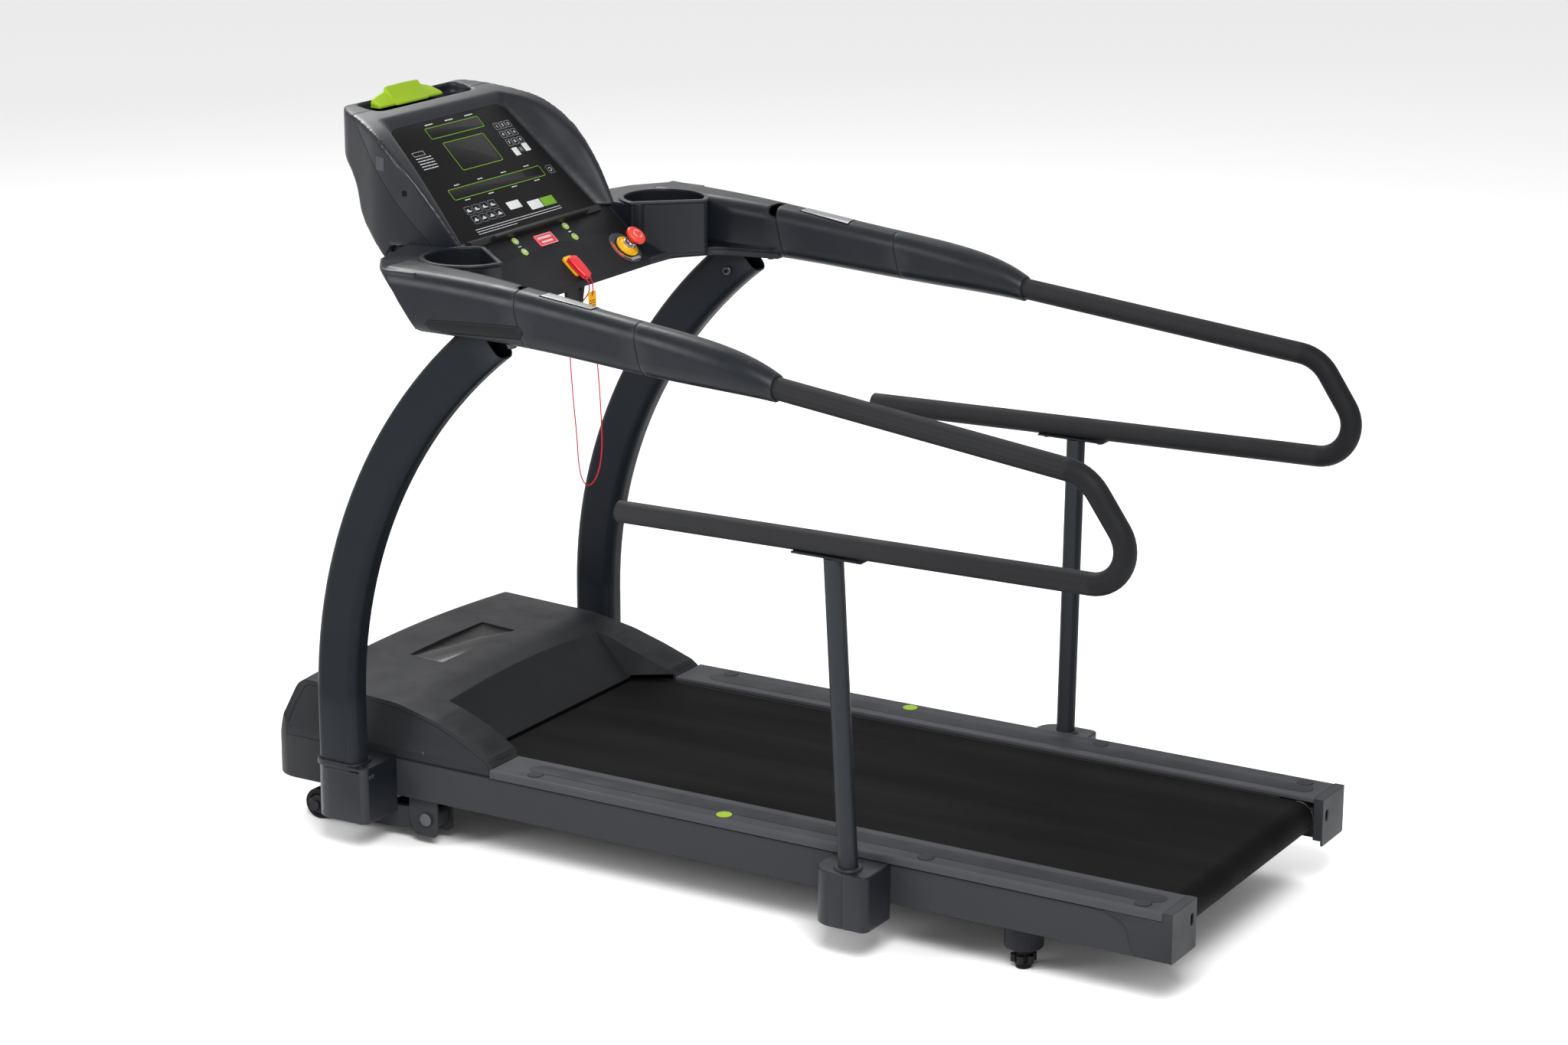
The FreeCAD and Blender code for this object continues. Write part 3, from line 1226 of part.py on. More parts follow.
# ---------------------------------------------------------------- write every node
def build_nodes():
    base = console_base_whole()
    split = base_split()
    base_upper = base.cut(split)
    for hole in panel_holes():
        base_upper = base_upper.cut(hole)
    return {
        "side_frames": both_sides(side_frame()),
        "cross_members": cross_members(),
        "rail_covers": both_sides(rail_cover()),
        "rail_dots": [solid for y in DOT_STATIONS if y != MARKER_Y for solid in both_sides(rail_dot(y))],
        "rail_markers": both_sides(rail_dot(MARKER_Y)),
        "end_caps": both_sides(end_cap()),
        "deck_board": [deck_board()],
        "deck_cushions": deck_cushions(),
        "running_belt": [running_belt()],
        "front_roller": [roller(FRONT_ROLLER_Y)] + roller_bearings(FRONT_ROLLER_Y),
        "roller_pulley": [roller_pulley()],
        "rear_roller": [roller(REAR_ROLLER_Y)] + roller_bearings(REAR_ROLLER_Y),
        "roller_axles": roller_axles(),
        "drive_motor": [drive_motor()],
        "motor_pulley": [motor_pulley()],
        "drive_belt": [drive_belt()],
        "motor_controller": [motor_controller()],
        "power_inlet": [power_inlet(), power_switch_frame()],
        "power_switch": [power_switch()],
        "hood_cover": [hood_cover()],
        "hood_sides": hood_sides(),
        "uprights": both_sides(upright()),
        "upright_sockets": both_sides(upright_socket()),
        "support_posts": both_sides(support_post()),
        "post_covers": [half for part in post_cover_halves() + [post_collar()] for half in both_sides(part)],
        "handrails": both_sides(handrail_tube()),
        "handrail_plugs": both_sides(handrail_plug()),
        "arm_sleeves": both_sides(arm_sleeve()),
        "grip_covers": both_sides(grip_cover()),
        "pulse_plates": both_sides(pulse_plate()),
        "console_base": [base_upper],
        "console_base_cover": [base.common(split)],
        "cup_holders": both_sides(cup_holder()),
        "console_face": [console_face()],
        "console_shell": [console_shell()],
        "overlay_panel": [overlay_panel()],
        "book_ledge": [book_ledge()],
        "control_board": [control_board()],
        "fan_louvre": [fan_louvre()],
        "stop_button": [stop_button()],
        "speed_up_button": [round_button(BUTTON_X, "up")],
        "speed_down_button": [round_button(BUTTON_X, "down")],
        "incline_up_button": [round_button(-BUTTON_X, "up")],
        "incline_down_button": [round_button(-BUTTON_X, "down")],
        "estop_base": [estop_base()],
        "estop_button": [estop_button()],
        "key_base": [key_base()],
        "safety_key": [safety_key()],
        "lanyard": [lanyard()],
        "lanyard_clip": [lanyard_clip()],
        "lanyard_tag": [lanyard_tag()],
        "lift_frame": [lift_frame()],
        "lift_screw": [lift_screw()],
        "lift_motor": [lift_motor()],
        "left_wheel": [mirrored(transport_wheel())],
        "right_wheel": [transport_wheel()],
        "foot_housings": foot_housings(),
        "left_foot": [levelling_foot(-FOOT_X)],
        "right_foot": [levelling_foot(FOOT_X)],
        "frame_bolts": frame_bolts() + lift_pivot_pins(),
    }


def write_nodes(nodes):
    os.makedirs("parts", exist_ok=True)
    for name, solids in nodes.items():
        shape = solids[0] if len(solids) == 1 else Part.makeCompound(solids)
        shape.exportStep(f"parts/{name}.step")
        reach = shape.optimalBoundingBox(True, False)
        print(f"{name:24s} solids {len(shape.Solids)} valid {shape.isValid()} "
              f"x {reach.XMin:.1f} {reach.XMax:.1f} y {reach.YMin:.1f} {reach.YMax:.1f} "
              f"z {reach.ZMin:.1f} {reach.ZMax:.1f}")


write_nodes(build_nodes())
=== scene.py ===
import json
import math

import bmesh
import bpy
from mathutils import Matrix, Vector


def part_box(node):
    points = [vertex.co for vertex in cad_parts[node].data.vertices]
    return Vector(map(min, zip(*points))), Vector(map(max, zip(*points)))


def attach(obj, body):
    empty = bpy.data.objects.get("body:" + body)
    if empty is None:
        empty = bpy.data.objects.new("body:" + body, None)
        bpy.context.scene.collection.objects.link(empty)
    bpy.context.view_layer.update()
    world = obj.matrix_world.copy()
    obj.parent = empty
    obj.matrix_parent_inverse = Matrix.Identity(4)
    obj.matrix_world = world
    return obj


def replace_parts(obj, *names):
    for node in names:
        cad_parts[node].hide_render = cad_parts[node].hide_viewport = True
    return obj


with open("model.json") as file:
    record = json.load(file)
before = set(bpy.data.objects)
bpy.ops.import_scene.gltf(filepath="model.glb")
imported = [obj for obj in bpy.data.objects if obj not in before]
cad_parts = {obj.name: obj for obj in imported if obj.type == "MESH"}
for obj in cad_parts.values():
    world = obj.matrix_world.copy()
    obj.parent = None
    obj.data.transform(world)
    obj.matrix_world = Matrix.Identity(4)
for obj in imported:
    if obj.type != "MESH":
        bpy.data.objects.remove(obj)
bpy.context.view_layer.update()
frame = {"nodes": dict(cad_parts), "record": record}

NODES = frame["nodes"]
SCENE = bpy.context.scene


# ---------------------------------------------------------------- camera, light and floor
def add_camera():
    """Behind the user's left shoulder, a little above the handrails."""
    data = bpy.data.cameras.new("camera")
    data.lens = 85.34
    data.sensor_width = 36.0
    camera = bpy.data.objects.new("camera", data)
    SCENE.collection.objects.link(camera)
    azimuth = math.radians(-59.40)
    elevation = math.radians(15.94)
    forward = Vector((-math.sin(azimuth) * math.cos(elevation), math.cos(azimuth) * math.cos(elevation),
                      -math.sin(elevation)))
    roll = Matrix.Rotation(math.radians(0.13), 4, "Z")
    aim = forward.to_track_quat("-Z", "Y").to_matrix().to_4x4()
    camera.matrix_world = Matrix.Translation((-5.494, -3.236, 2.434)) @ aim @ roll
    SCENE.camera = camera


def add_area_light(name, place, target, size, power):
    data = bpy.data.lights.new(name, "AREA")
    data.shape = "RECTANGLE"
    data.size, data.size_y = size
    data.energy = power
    light = bpy.data.objects.new(name, data)
    SCENE.collection.objects.link(light)
    light.location = place
    light.rotation_euler = (Vector(target) - Vector(place)).to_track_quat("-Z", "Y").to_euler()


def add_studio():
    SCENE.view_settings.view_transform = "Standard"
    world = bpy.data.worlds.new("studio")
    SCENE.world = world
    world.use_nodes = True
    background = world.node_tree.nodes["Background"]
    background.inputs["Color"].default_value = (1.0, 1.0, 1.0, 1.0)
    background.inputs["Strength"].default_value = 0.85
    add_area_light("key", (-3.4, -2.4, 4.4), (0, 0, 0.5), (2.4, 1.8), 330)
    add_area_light("side", (-3.6, 2.6, 2.6), (0, 0.2, 0.7), (1.4, 2.2), 100)
    add_area_light("rim", (2.6, 3.4, 4.6), (0, 0, 0.7), (2.6, 1.8), 170)
    mesh = bpy.data.meshes.new("floor")
    reach = 30.0
    corners = [(-reach, -reach, 0), (reach, -reach, 0), (reach, reach, 0), (-reach, reach, 0)]
    mesh.from_pydata(corners, [], [(0, 1, 2, 3)])
    floor = bpy.data.objects.new("floor", mesh)
    SCENE.collection.objects.link(floor)
    mesh.materials.append(plain_material("floor_pale", (0.93, 0.93, 0.93), 0.8))


def plain_material(name, colour, roughness):
    material = bpy.data.materials.new(name)
    material.use_nodes = True
    shader = material.node_tree.nodes["Principled BSDF"]
    shader.inputs["Base Color"].default_value = (*colour, 1)
    shader.inputs["Roughness"].default_value = roughness
    return material


# ---------------------------------------------------------------- procedural materials
class Tree:
    """A material's node tree with short calls for the nodes that every finish here uses."""

    def __init__(self, name):
        self.material = bpy.data.materials.new(name)
        self.material.use_nodes = True
        self.nodes = self.material.node_tree.nodes
        self.links = self.material.node_tree.links
        self.shader = self.nodes["Principled BSDF"]
        self.coordinates = self.nodes.new("ShaderNodeTexCoord").outputs["Object"]

    def stretched(self, factors):
        mapping = self.nodes.new("ShaderNodeMapping")
        mapping.inputs["Scale"].default_value = factors
        self.links.new(self.coordinates, mapping.inputs["Vector"])
        return mapping.outputs["Vector"]

    def noise(self, scale, detail=3.0, vector=None):
        texture = self.nodes.new("ShaderNodeTexNoise")
        texture.inputs["Scale"].default_value = scale
        texture.inputs["Detail"].default_value = detail
        self.links.new(vector or self.coordinates, texture.inputs["Vector"])
        return texture.outputs["Fac"]

    def cells(self, scale):
        texture = self.nodes.new("ShaderNodeTexVoronoi")
        texture.feature = "SMOOTH_F1"
        texture.inputs["Scale"].default_value = scale
        self.links.new(self.coordinates, texture.inputs["Vector"])
        return texture.outputs["Distance"]

    def wave(self, scale, direction):
        texture = self.nodes.new("ShaderNodeTexWave")
        texture.bands_direction = direction
        texture.inputs["Scale"].default_value = scale
        self.links.new(self.coordinates, texture.inputs["Vector"])
        return texture.outputs["Fac"]

    def remap(self, value, low, high, to_low, to_high):
        node = self.nodes.new("ShaderNodeMapRange")
        for index, number in enumerate((low, high, to_low, to_high), 1):
            node.inputs[index].default_value = number
        self.links.new(value, node.inputs[0])
        return node.outputs[0]

    def blend(self, factor, colour_a, colour_b):
        node = self.nodes.new("ShaderNodeMix")
        node.data_type = "RGBA"
        self.links.new(factor, node.inputs["Factor"])
        for socket, colour in ((node.inputs["A"], colour_a), (node.inputs["B"], colour_b)):
            if isinstance(colour, bpy.types.NodeSocket):
                self.links.new(colour, socket)
            else:
                socket.default_value = (*colour, 1)
        return node.outputs["Result"]

    def bump(self, height, strength, distance, normal=None):
        node = self.nodes.new("ShaderNodeBump")
        node.inputs["Strength"].default_value = strength
        node.inputs["Distance"].default_value = distance
        self.links.new(height, node.inputs["Height"])
        if normal:
            self.links.new(normal, node.inputs["Normal"])
        return node.outputs["Normal"]

    def eased(self, radius):
        """Edges shade as if rounded over by this much."""
        node = self.nodes.new("ShaderNodeBevel")
        node.samples = 4
        node.inputs["Radius"].default_value = radius
        return node.outputs["Normal"]


def shade(colour, factor):
    return tuple(min(1.0, channel * factor) for channel in colour)


def coating(name, colour, roughness, grain, metallic=0.0, variation=0.12, blotch=5.0, wear=0.35,
                    coat=0.0, spread=0.07, specular=0.09, edge=0.0):
    """Blotchy colour, a fine grain in the bump, uneven gloss and edges rubbed a little lighter.

    grain is (kind, scale, strength, distance); kind is cells, noise or brushed. edge is how far edges
    shade as if rounded, in metres."""
    tree = Tree(name)
    shader = tree.shader
    kind, scale, strength, distance = grain
    patches = tree.noise(blotch, 5.0)
    base = tree.blend(tree.remap(patches, 0.3, 0.7, 0, 1), shade(colour, 1 - variation),
                      shade(colour, 1 + variation))
    if wear:
        geometry = tree.nodes.new("ShaderNodeNewGeometry")
        edges = tree.remap(geometry.outputs["Pointiness"], 0.52, 0.62, 0.0, wear)
        base = tree.blend(edges, base, tuple(min(1.0, channel * 1.8 + 0.03) for channel in colour))
    tree.links.new(base, shader.inputs["Base Color"])
    shader.inputs["Metallic"].default_value = metallic
    shader.inputs["Specular IOR Level"].default_value = specular
    shader.inputs["Coat Weight"].default_value = coat
    smears = tree.noise(blotch * 3.1, 4.0)
    tree.links.new(tree.remap(smears, 0.3, 0.7, roughness - spread, roughness + spread),
                   shader.inputs["Roughness"])
    if kind == "cells":
        height = tree.cells(scale)
    elif kind == "brushed":
        height = tree.noise(scale, 2.0, tree.stretched((1.0, 0.03, 1.0)))
    else:
        height = tree.noise(scale, 4.0)
    normal = tree.bump(height, strength, distance, tree.eased(edge) if edge else None)
    tree.links.new(normal, shader.inputs["Normal"])
    return tree.material


def belt_material():
    """Running belt: a fine crosshatched polymer face, dulled by scuffs along the way it runs."""
    tree = Tree("belt_weave")
    shader = tree.shader
    scuffs = tree.noise(9.0, 6.0, tree.stretched((1.0, 0.12, 1.0)))
    base = tree.blend(tree.remap(scuffs, 0.35, 0.75, 0, 1), (0.0017, 0.0015, 0.0017),
                      (0.0034, 0.003, 0.0033))
    tree.links.new(base, shader.inputs["Base Color"])
    tree.links.new(tree.remap(scuffs, 0.3, 0.7, 0.72, 0.58), shader.inputs["Roughness"])
    shader.inputs["Specular IOR Level"].default_value = 0.04
    across = tree.bump(tree.wave(420.0, "X"), 0.25, 0.0003)
    along = tree.bump(tree.wave(420.0, "Y"), 0.25, 0.0003, across)
    tree.links.new(along, shader.inputs["Normal"])
    return tree.material


def wood_material():
    tree = Tree("deck_laminate")
    rings = tree.noise(14.0, 6.0, tree.stretched((1.0, 0.08, 6.0)))
    base = tree.blend(tree.remap(rings, 0.35, 0.7, 0, 1), (0.006, 0.0055, 0.005), (0.011, 0.0095, 0.008))
    tree.links.new(base, tree.shader.inputs["Base Color"])
    tree.shader.inputs["Roughness"].default_value = 0.45
    tree.links.new(tree.bump(rings, 0.2, 0.0004), tree.shader.inputs["Normal"])
    return tree.material


def make_materials():
    moulded = ("cells", 1500.0, 0.18, 0.0002)
    fine = ("cells", 2600.0, 0.1, 0.00015)
    powder = ("noise", 1100.0, 0.22, 0.0002)
    smooth = ("noise", 600.0, 0.04, 0.0001)
    bright = {"specular": 0.45, "variation": 0.06, "wear": 0.1}
    ink = {"variation": 0.05, "wear": 0.0}
    return {
        "shell": coating("shell_charcoal", (0.005, 0.0064, 0.0094), 0.36, fine, specular=0.2, edge=0.006),
        "head": coating("head_charcoal", (0.0048, 0.0062, 0.0095), 0.34, fine, specular=0.3),
        "panel": coating("panel_charcoal", (0.007, 0.0073, 0.0086), 0.44, moulded, wear=0.2, edge=0.0025),
        "hood": coating("hood_charcoal", (0.0072, 0.0077, 0.0095), 0.46, moulded, edge=0.004),
        "tube": coating("tube_powder", (0.0056, 0.0072, 0.0102), 0.4, powder, variation=0.08, edge=0.0015),
        "grip_tube": coating("handrail_texture", (0.0066, 0.0068, 0.0079), 0.55,
                             ("noise", 700.0, 0.75, 0.0006)),
        "frame": coating("frame_powder", (0.0098, 0.0106, 0.0132), 0.42, powder, edge=0.0015),
        "rail": coating("rail_grey", (0.0205, 0.0225, 0.0262), 0.48, moulded, edge=0.002),
        "strip": coating("rail_strip", (0.0175, 0.019, 0.022), 0.55, ("noise", 1600.0, 0.5, 0.0003)),
        "cap": coating("cap_grey", (0.0105, 0.0115, 0.0138), 0.4, fine, edge=0.003),
        "dot": coating("dot_grey", (0.0175, 0.019, 0.022), 0.55, smooth),
        "green": coating("green_plastic", (0.2, 0.31, 0.012), 0.38, smooth, variation=0.06, wear=0.1),
        "red": coating("red_plastic", (0.5, 0.01, 0.018), 0.3, smooth, **bright),
        "estop": coating("estop_red", (0.56, 0.03, 0.014), 0.34, smooth, **bright),
        "yellow": coating("yellow_plastic", (0.62, 0.33, 0.003), 0.36, smooth, **bright),
        "tag": coating("tag_yellow", (0.6, 0.28, 0.006), 0.5, smooth, variation=0.08, wear=0.0),
        "black": coating("black_plastic", (0.0028, 0.0028, 0.0032), 0.42, fine),
        "rubber": coating("black_rubber", (0.0045, 0.0045, 0.0048), 0.7, ("noise", 900.0, 0.4, 0.0003)),
        "steel": coating("brushed_steel", (0.55, 0.55, 0.56), 0.28, ("brushed", 900.0, 0.12, 0.0001), 1.0),
        "contact": coating("contact_steel", (0.26, 0.265, 0.275), 0.36, ("brushed", 900.0, 0.12, 0.0001),
                           1.0),
        "bolt": coating("black_oxide", (0.06, 0.06, 0.064), 0.36, smooth, 0.8),
        "iron": coating("cast_pulley", (0.13, 0.13, 0.135), 0.42, ("noise", 500.0, 0.3, 0.0003), 1.0),
        "motor": coating("motor_enamel", (0.02, 0.02, 0.022), 0.4, powder),
        "alloy": coating("controller_alloy", (0.5, 0.51, 0.52), 0.36, ("brushed", 700.0, 0.1, 0.0001), 1.0),
        "board": coating("board_green", (0.01, 0.09, 0.03), 0.4, smooth, coat=0.4),
        "film": coating("overlay_film", (0.0048, 0.0045, 0.0048), 0.45, ("noise", 1400.0, 0.12, 0.0001),
                        **ink),
        "window": coating("display_window", (0.0036, 0.0033, 0.0036), 0.3, smooth, variation=0.03,
                          wear=0.0, coat=0.12),
        "outline": coating("print_grey", (0.17, 0.18, 0.19), 0.5, smooth, **ink),
        "line": coating("print_green", (0.11, 0.25, 0.016), 0.5, smooth, **ink),
        "print": coating("print_white", (0.42, 0.44, 0.46), 0.5, smooth, **ink),
        "key": coating("print_key", (0.45, 0.47, 0.47), 0.42, smooth, variation=0.04, wear=0.0),
        "label": coating("label_grey", (0.042, 0.045, 0.054), 0.45, smooth, **ink),
        "cord": coating("lanyard_cord", (0.4, 0.01, 0.028), 0.6, ("noise", 3000.0, 0.6, 0.0003), wear=0.0),
        # near-black painted shade for the head joint, rail grooves, bolt sockets and head port; also the
        # dark ink on the lanyard tag
        "seam": coating("seam_shadow", (0.0016, 0.0016, 0.0018), 0.7, smooth, variation=0.03, wear=0.0),
        "belt": belt_material(),
        "wood": wood_material(),
    }


NODE_FINISH = {
    "side_frames": "frame", "cross_members": "frame", "rail_covers": "rail", "rail_dots": "dot",
    "rail_markers": "green", "end_caps": "cap", "deck_board": "wood", "deck_cushions": "rubber",
    "running_belt": "belt", "front_roller": "steel", "roller_pulley": "iron", "rear_roller": "steel",
    "roller_axles": "steel", "drive_motor": "motor", "motor_pulley": "iron", "drive_belt": "rubber",
    "motor_controller": "alloy", "power_inlet": "black", "power_switch": "black", "hood_cover": "hood",
    "hood_sides": "hood", "uprights": "tube", "upright_sockets": "shell", "support_posts": "tube",
    "post_covers": "shell", "handrails": "grip_tube", "handrail_plugs": "black", "arm_sleeves": "shell",
    "grip_covers": "shell", "pulse_plates": "contact", "console_base": "panel",
    "console_base_cover": "panel", "cup_holders": "shell", "console_face": "head",
    "console_shell": "head", "overlay_panel": "film", "book_ledge": "black",
    "control_board": "board", "fan_louvre": "green", "stop_button": "red",
    "speed_up_button": "green", "speed_down_button": "green", "incline_up_button": "green",
    "incline_down_button": "green", "estop_base": "yellow", "estop_button": "estop", "key_base": "yellow",
    "safety_key": "red", "lanyard": "cord", "lanyard_clip": "black", "lanyard_tag": "tag",
    "lift_frame": "frame", "lift_screw": "steel", "lift_motor": "motor", "left_wheel": "rubber",
    "right_wheel": "rubber", "foot_housings": "frame", "left_foot": "black", "right_foot": "black",
    "frame_bolts": "bolt",
}


def paint_nodes():
    """Gives every CAD node its finish."""
    for name, node in NODES.items():
        mesh = node.data
        mesh.materials.clear()
        mesh.materials.append(MATERIALS[NODE_FINISH[name]])
        mesh.polygons.foreach_set("material_index", [0] * len(mesh.polygons))


SLOT_LIKE = {"estop": "red", "window": "film", "line": "film", "print": "film", "outline": "film",
             "key": "film", "label": "film", "cord": "red", "seam": "black", "strip": "rail"}
RECORD_SLOTS = {part["node"]: part["material_slot"] for part in frame["record"]["subparts"]}
FINISH_SLOT = {}
for node_name, finish_name in NODE_FINISH.items():
    FINISH_SLOT.setdefault(finish_name, RECORD_SLOTS[node_name])
for finish_name, like in SLOT_LIKE.items():
    FINISH_SLOT.setdefault(finish_name, FINISH_SLOT[like])


# ---------------------------------------------------------------- mesh helpers
MM = 0.001


class Plane:
    """A flat working surface: u to the right, v up the slope, h out of it. Millimetres."""

    def __init__(self, origin, right, up):
        self.origin = Vector(origin)
        self.right = Vector(right).normalized()
        self.up = Vector(up).normalized()
        self.normal = self.right.cross(self.up)

    def point(self, u, v, h=0.0):
        return (self.origin + self.right * u + self.up * v + self.normal * h) * MM


OVERLAY = Plane((0, 552, 1095.7), (1, 0, 0), (0, 1, 1))
PANEL = Plane((0, 440, 1004), (1, 0, 0), (0, 101, 87))


def add_piece(name, verts, faces, finish, body="base", smooth=True):
    """A mesh piece that rides on a CAD body, with outward faces."""
    mesh = bpy.data.meshes.new(name)
    mesh.from_pydata([tuple(vertex) for vertex in verts], [], faces)
    work = bmesh.new()
    work.from_mesh(mesh)
    bmesh.ops.remove_doubles(work, verts=work.verts, dist=1e-7)
    bmesh.ops.recalc_face_normals(work, faces=work.faces)
    work.to_mesh(mesh)
    work.free()
    mesh.materials.append(MATERIALS[finish])
    mesh.polygons.foreach_set("use_smooth", [smooth] * len(mesh.polygons))
    piece = bpy.data.objects.new(name, mesh)
    SCENE.collection.objects.link(piece)
    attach(piece, body)
    return piece


def sharpen(piece, angle=35.0):
    piece.data.set_sharp_from_angle(angle=math.radians(angle))
    return piece


def rings_to_mesh(rings, cap_first=True, cap_last=True):
    """Quads between successive closed rings of points, with flat caps."""
    count = len(rings[0])
    verts = [point for ring in rings for point in ring]
    faces = []
    for level in range(len(rings) - 1):
        low = level * count
        high = low + count
        faces += [(low + i, low + (i + 1) % count, high + (i + 1) % count, high + i) for i in range(count)]
    if cap_first:
        faces.append(tuple(reversed(range(count))))
    if cap_last:
        faces.append(tuple(range((len(rings) - 1) * count, len(rings) * count)))
    return verts, faces


def rounded_rect(u, v, half_u, half_v, radius, inset=0.0, steps=6):
    """The outline of a rounded rectangle, counter-clockwise."""
    half_u -= inset
    half_v -= inset
    radius = max(0.05, min(radius - inset, half_u, half_v))
    points = []
    for corner in range(4):
        centre_u = u + (half_u - radius) * (1, -1, -1, 1)[corner]
        centre_v = v + (half_v - radius) * (1, 1, -1, -1)[corner]
        for step in range(steps + 1):
            angle = math.pi / 2 * (corner + step / steps)
            points.append((centre_u + radius * math.cos(angle), centre_v + radius * math.sin(angle)))
    return points


def add_plate(name, plane, outline_at, low, high, finish, body="base", bevel=0.3):
    """A plate with a rounded upper edge. outline_at(inset) gives its outline."""
    rings = []
    for inset, height in ((0, low), (0, high - bevel), (bevel * 0.3, high - bevel * 0.3), (bevel, high)):
        rings.append([plane.point(u, v, height) for u, v in outline_at(inset)])
    verts, faces = rings_to_mesh(rings)
    return sharpen(add_piece(name, verts, faces, finish, body))


def add_key(name, plane, u, v, half_u, half_v, radius, low, high, finish, body="base", bevel=0.3):
    return add_plate(name, plane, lambda inset: rounded_rect(u, v, half_u, half_v, radius, inset), low, high,
                     finish, body, bevel)


def frame_geometry(plane, outer, inner, low, high):
    """Verts and faces of a flat band between two outlines of the same length."""
    rings = [[plane.point(u, v, low) for u, v in outer], [plane.point(u, v, high) for u, v in outer],
             [plane.point(u, v, high) for u, v in inner], [plane.point(u, v, low) for u, v in inner]]
    return rings_to_mesh(rings, False, False)


def join_geometry(parts):
    """One vertex and face list from several."""
    verts, faces = [], []
    for part_verts, part_faces in parts:
        start = len(verts)
        verts += list(part_verts)
        faces += [tuple(start + index for index in face) for face in part_faces]
    return verts, faces


def add_print(name, parts, finish, body="base"):
    """Several flat-shaded bits of geometry as one piece."""
    verts, faces = join_geometry(parts)
    return add_piece(name, verts, faces, finish, body, smooth=False)


def box_outline(plane, u, v, half_u, half_v, width, radius, low, high):
    """A printed box line."""
    return frame_geometry(plane, rounded_rect(u, v, half_u, half_v, radius),
                          rounded_rect(u, v, half_u, half_v, radius, width), low, high)


def slab(plane, u_low, u_high, v_low, v_high, low, high):
    corners = ((u_low, v_low), (u_high, v_low), (u_high, v_high), (u_low, v_high))
    return rings_to_mesh([[plane.point(u, v, height) for u, v in corners] for height in (low, high)])


def polygon_slab(plane, corners, low, high):
    return rings_to_mesh([[plane.point(u, v, height) for u, v in corners] for height in (low, high)])


def arc_band(plane, u, v, inner, outer, start, end, low, high, steps=24):
    """A printed arc."""
    edge = []
    for radius, order in ((outer, range(steps + 1)), (inner, range(steps, -1, -1))):
        for step in order:
            angle = math.radians(start + (end - start) * step / steps)
            edge.append((u + radius * math.cos(angle), v + radius * math.sin(angle)))
    return rings_to_mesh([[plane.point(a, b, height) for a, b in edge] for height in (low, high)])


def print_rows(plane, u_low, u_high, tops, height, low, high, seed):
    """Rows of short dashes that read as small print without any lettering."""
    parts = []
    state = seed
    for v in tops:
        u = u_low
        while u < u_high:
            state = (state * 1103515245 + 12345) % 2147483648
            length = 2.5 + 5.5 * (state / 2147483648)
            parts.append(slab(plane, u, min(u + length, u_high), v - height, v, low, high))
            u += length + 1.4
    return parts


def add_lathe(name, profile, base, axis, finish, body="base", steps=48, hexagon=()):
    """A turned piece from (radius, height) points along an axis; rings in hexagon are six-sided."""
    axis = Vector(axis).normalized()
    side = axis.orthogonal().normalized()
    other = axis.cross(side)
    rings = []
    for index, (radius, height) in enumerate(profile):
        ring = []
        for step in range(steps):
            angle = 2 * math.pi * step / steps
            reach = radius
            if index in hexagon:
                turn = (angle + math.pi / 6) % (math.pi / 3) - math.pi / 6
                reach = radius * math.cos(math.pi / 6) / math.cos(turn)
            ring.append((Vector(base) + side * reach * math.cos(angle) + other * reach * math.sin(angle)
                         + axis * height) * MM)
        rings.append(ring)
    hollow = profile[0][0] == profile[-1][0]
    verts, faces = rings_to_mesh(rings + rings[:1] * hollow, not hollow, not hollow)
    return sharpen(add_piece(name, verts, faces, finish, body))


def add_tube(name, points, radius, finish, body="base"):
    """A smooth round cord or wire along a NURBS line through the route's points."""
    curve = bpy.data.curves.new(name, "CURVE")
    curve.dimensions = "3D"
    curve.bevel_depth = radius * MM
    curve.bevel_resolution = 4
    curve.resolution_u = 10
    curve.use_fill_caps = True
    spline = curve.splines.new("NURBS")
    spline.points.add(len(points) - 1)
    for place, point in zip(spline.points, points):
        place.co = (*(Vector(point) * MM), 1.0)
    spline.order_u = 3
    spline.use_endpoint_u = True
    curve.materials.append(MATERIALS[finish])
    piece = bpy.data.objects.new(name, curve)
    SCENE.collection.objects.link(piece)
    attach(piece, body)
    return piece


def digit_geometry(plane, text, u, v, size, low, high):
    """A keypad digit as a thin raised print."""
    curve = bpy.data.curves.new("digit", "FONT")
    curve.body = text
    curve.size = size
    curve.offset = 0.02 * size
    curve.align_x = "CENTER"
    curve.align_y = "CENTER"
    holder = bpy.data.objects.new("digit", curve)
    SCENE.collection.objects.link(holder)
    bpy.context.view_layer.update()
    flat = holder.evaluated_get(bpy.context.evaluated_depsgraph_get()).to_mesh()
    work = bmesh.new()
    work.from_mesh(flat)
    bmesh.ops.remove_doubles(work, verts=work.verts, dist=1e-5)
    lifted = bmesh.ops.extrude_face_region(work, geom=list(work.faces))
    top = {item for item in lifted["geom"] if isinstance(item, bmesh.types.BMVert)}
    work.verts.index_update()
    verts = [plane.point(u + vert.co.x, v + vert.co.y, high if vert in top else low) for vert in work.verts]
    faces = [tuple(vert.index for vert in face.verts) for face in work.faces]
    work.free()
    holder.to_mesh_clear()
    bpy.data.objects.remove(holder)
    bpy.data.curves.remove(curve)
    return verts, faces


# ---------------------------------------------------------------- console head
def smooth_outline(corners, steps=7):
    """A closed outline with each (u, v, cut) corner rounded over its cut length."""
    points = []
    count = len(corners)
    for index, corner in enumerate(corners):
        here = Vector(corner[:2])
        cut = corner[2] if len(corner) > 2 else 0.0
        if not cut:
            points.append(tuple(here))
            continue
        before = Vector(corners[index - 1][:2]) - here
        after = Vector(corners[(index + 1) % count][:2]) - here
        start = here + before * min(0.48, cut / before.length)
        end = here + after * min(0.48, cut / after.length)
        for step in range(steps + 1):
            share = step / steps
            points.append(tuple(start * (1 - share) ** 2 + here * 2 * share * (1 - share)
                                + end * share ** 2))
    return points


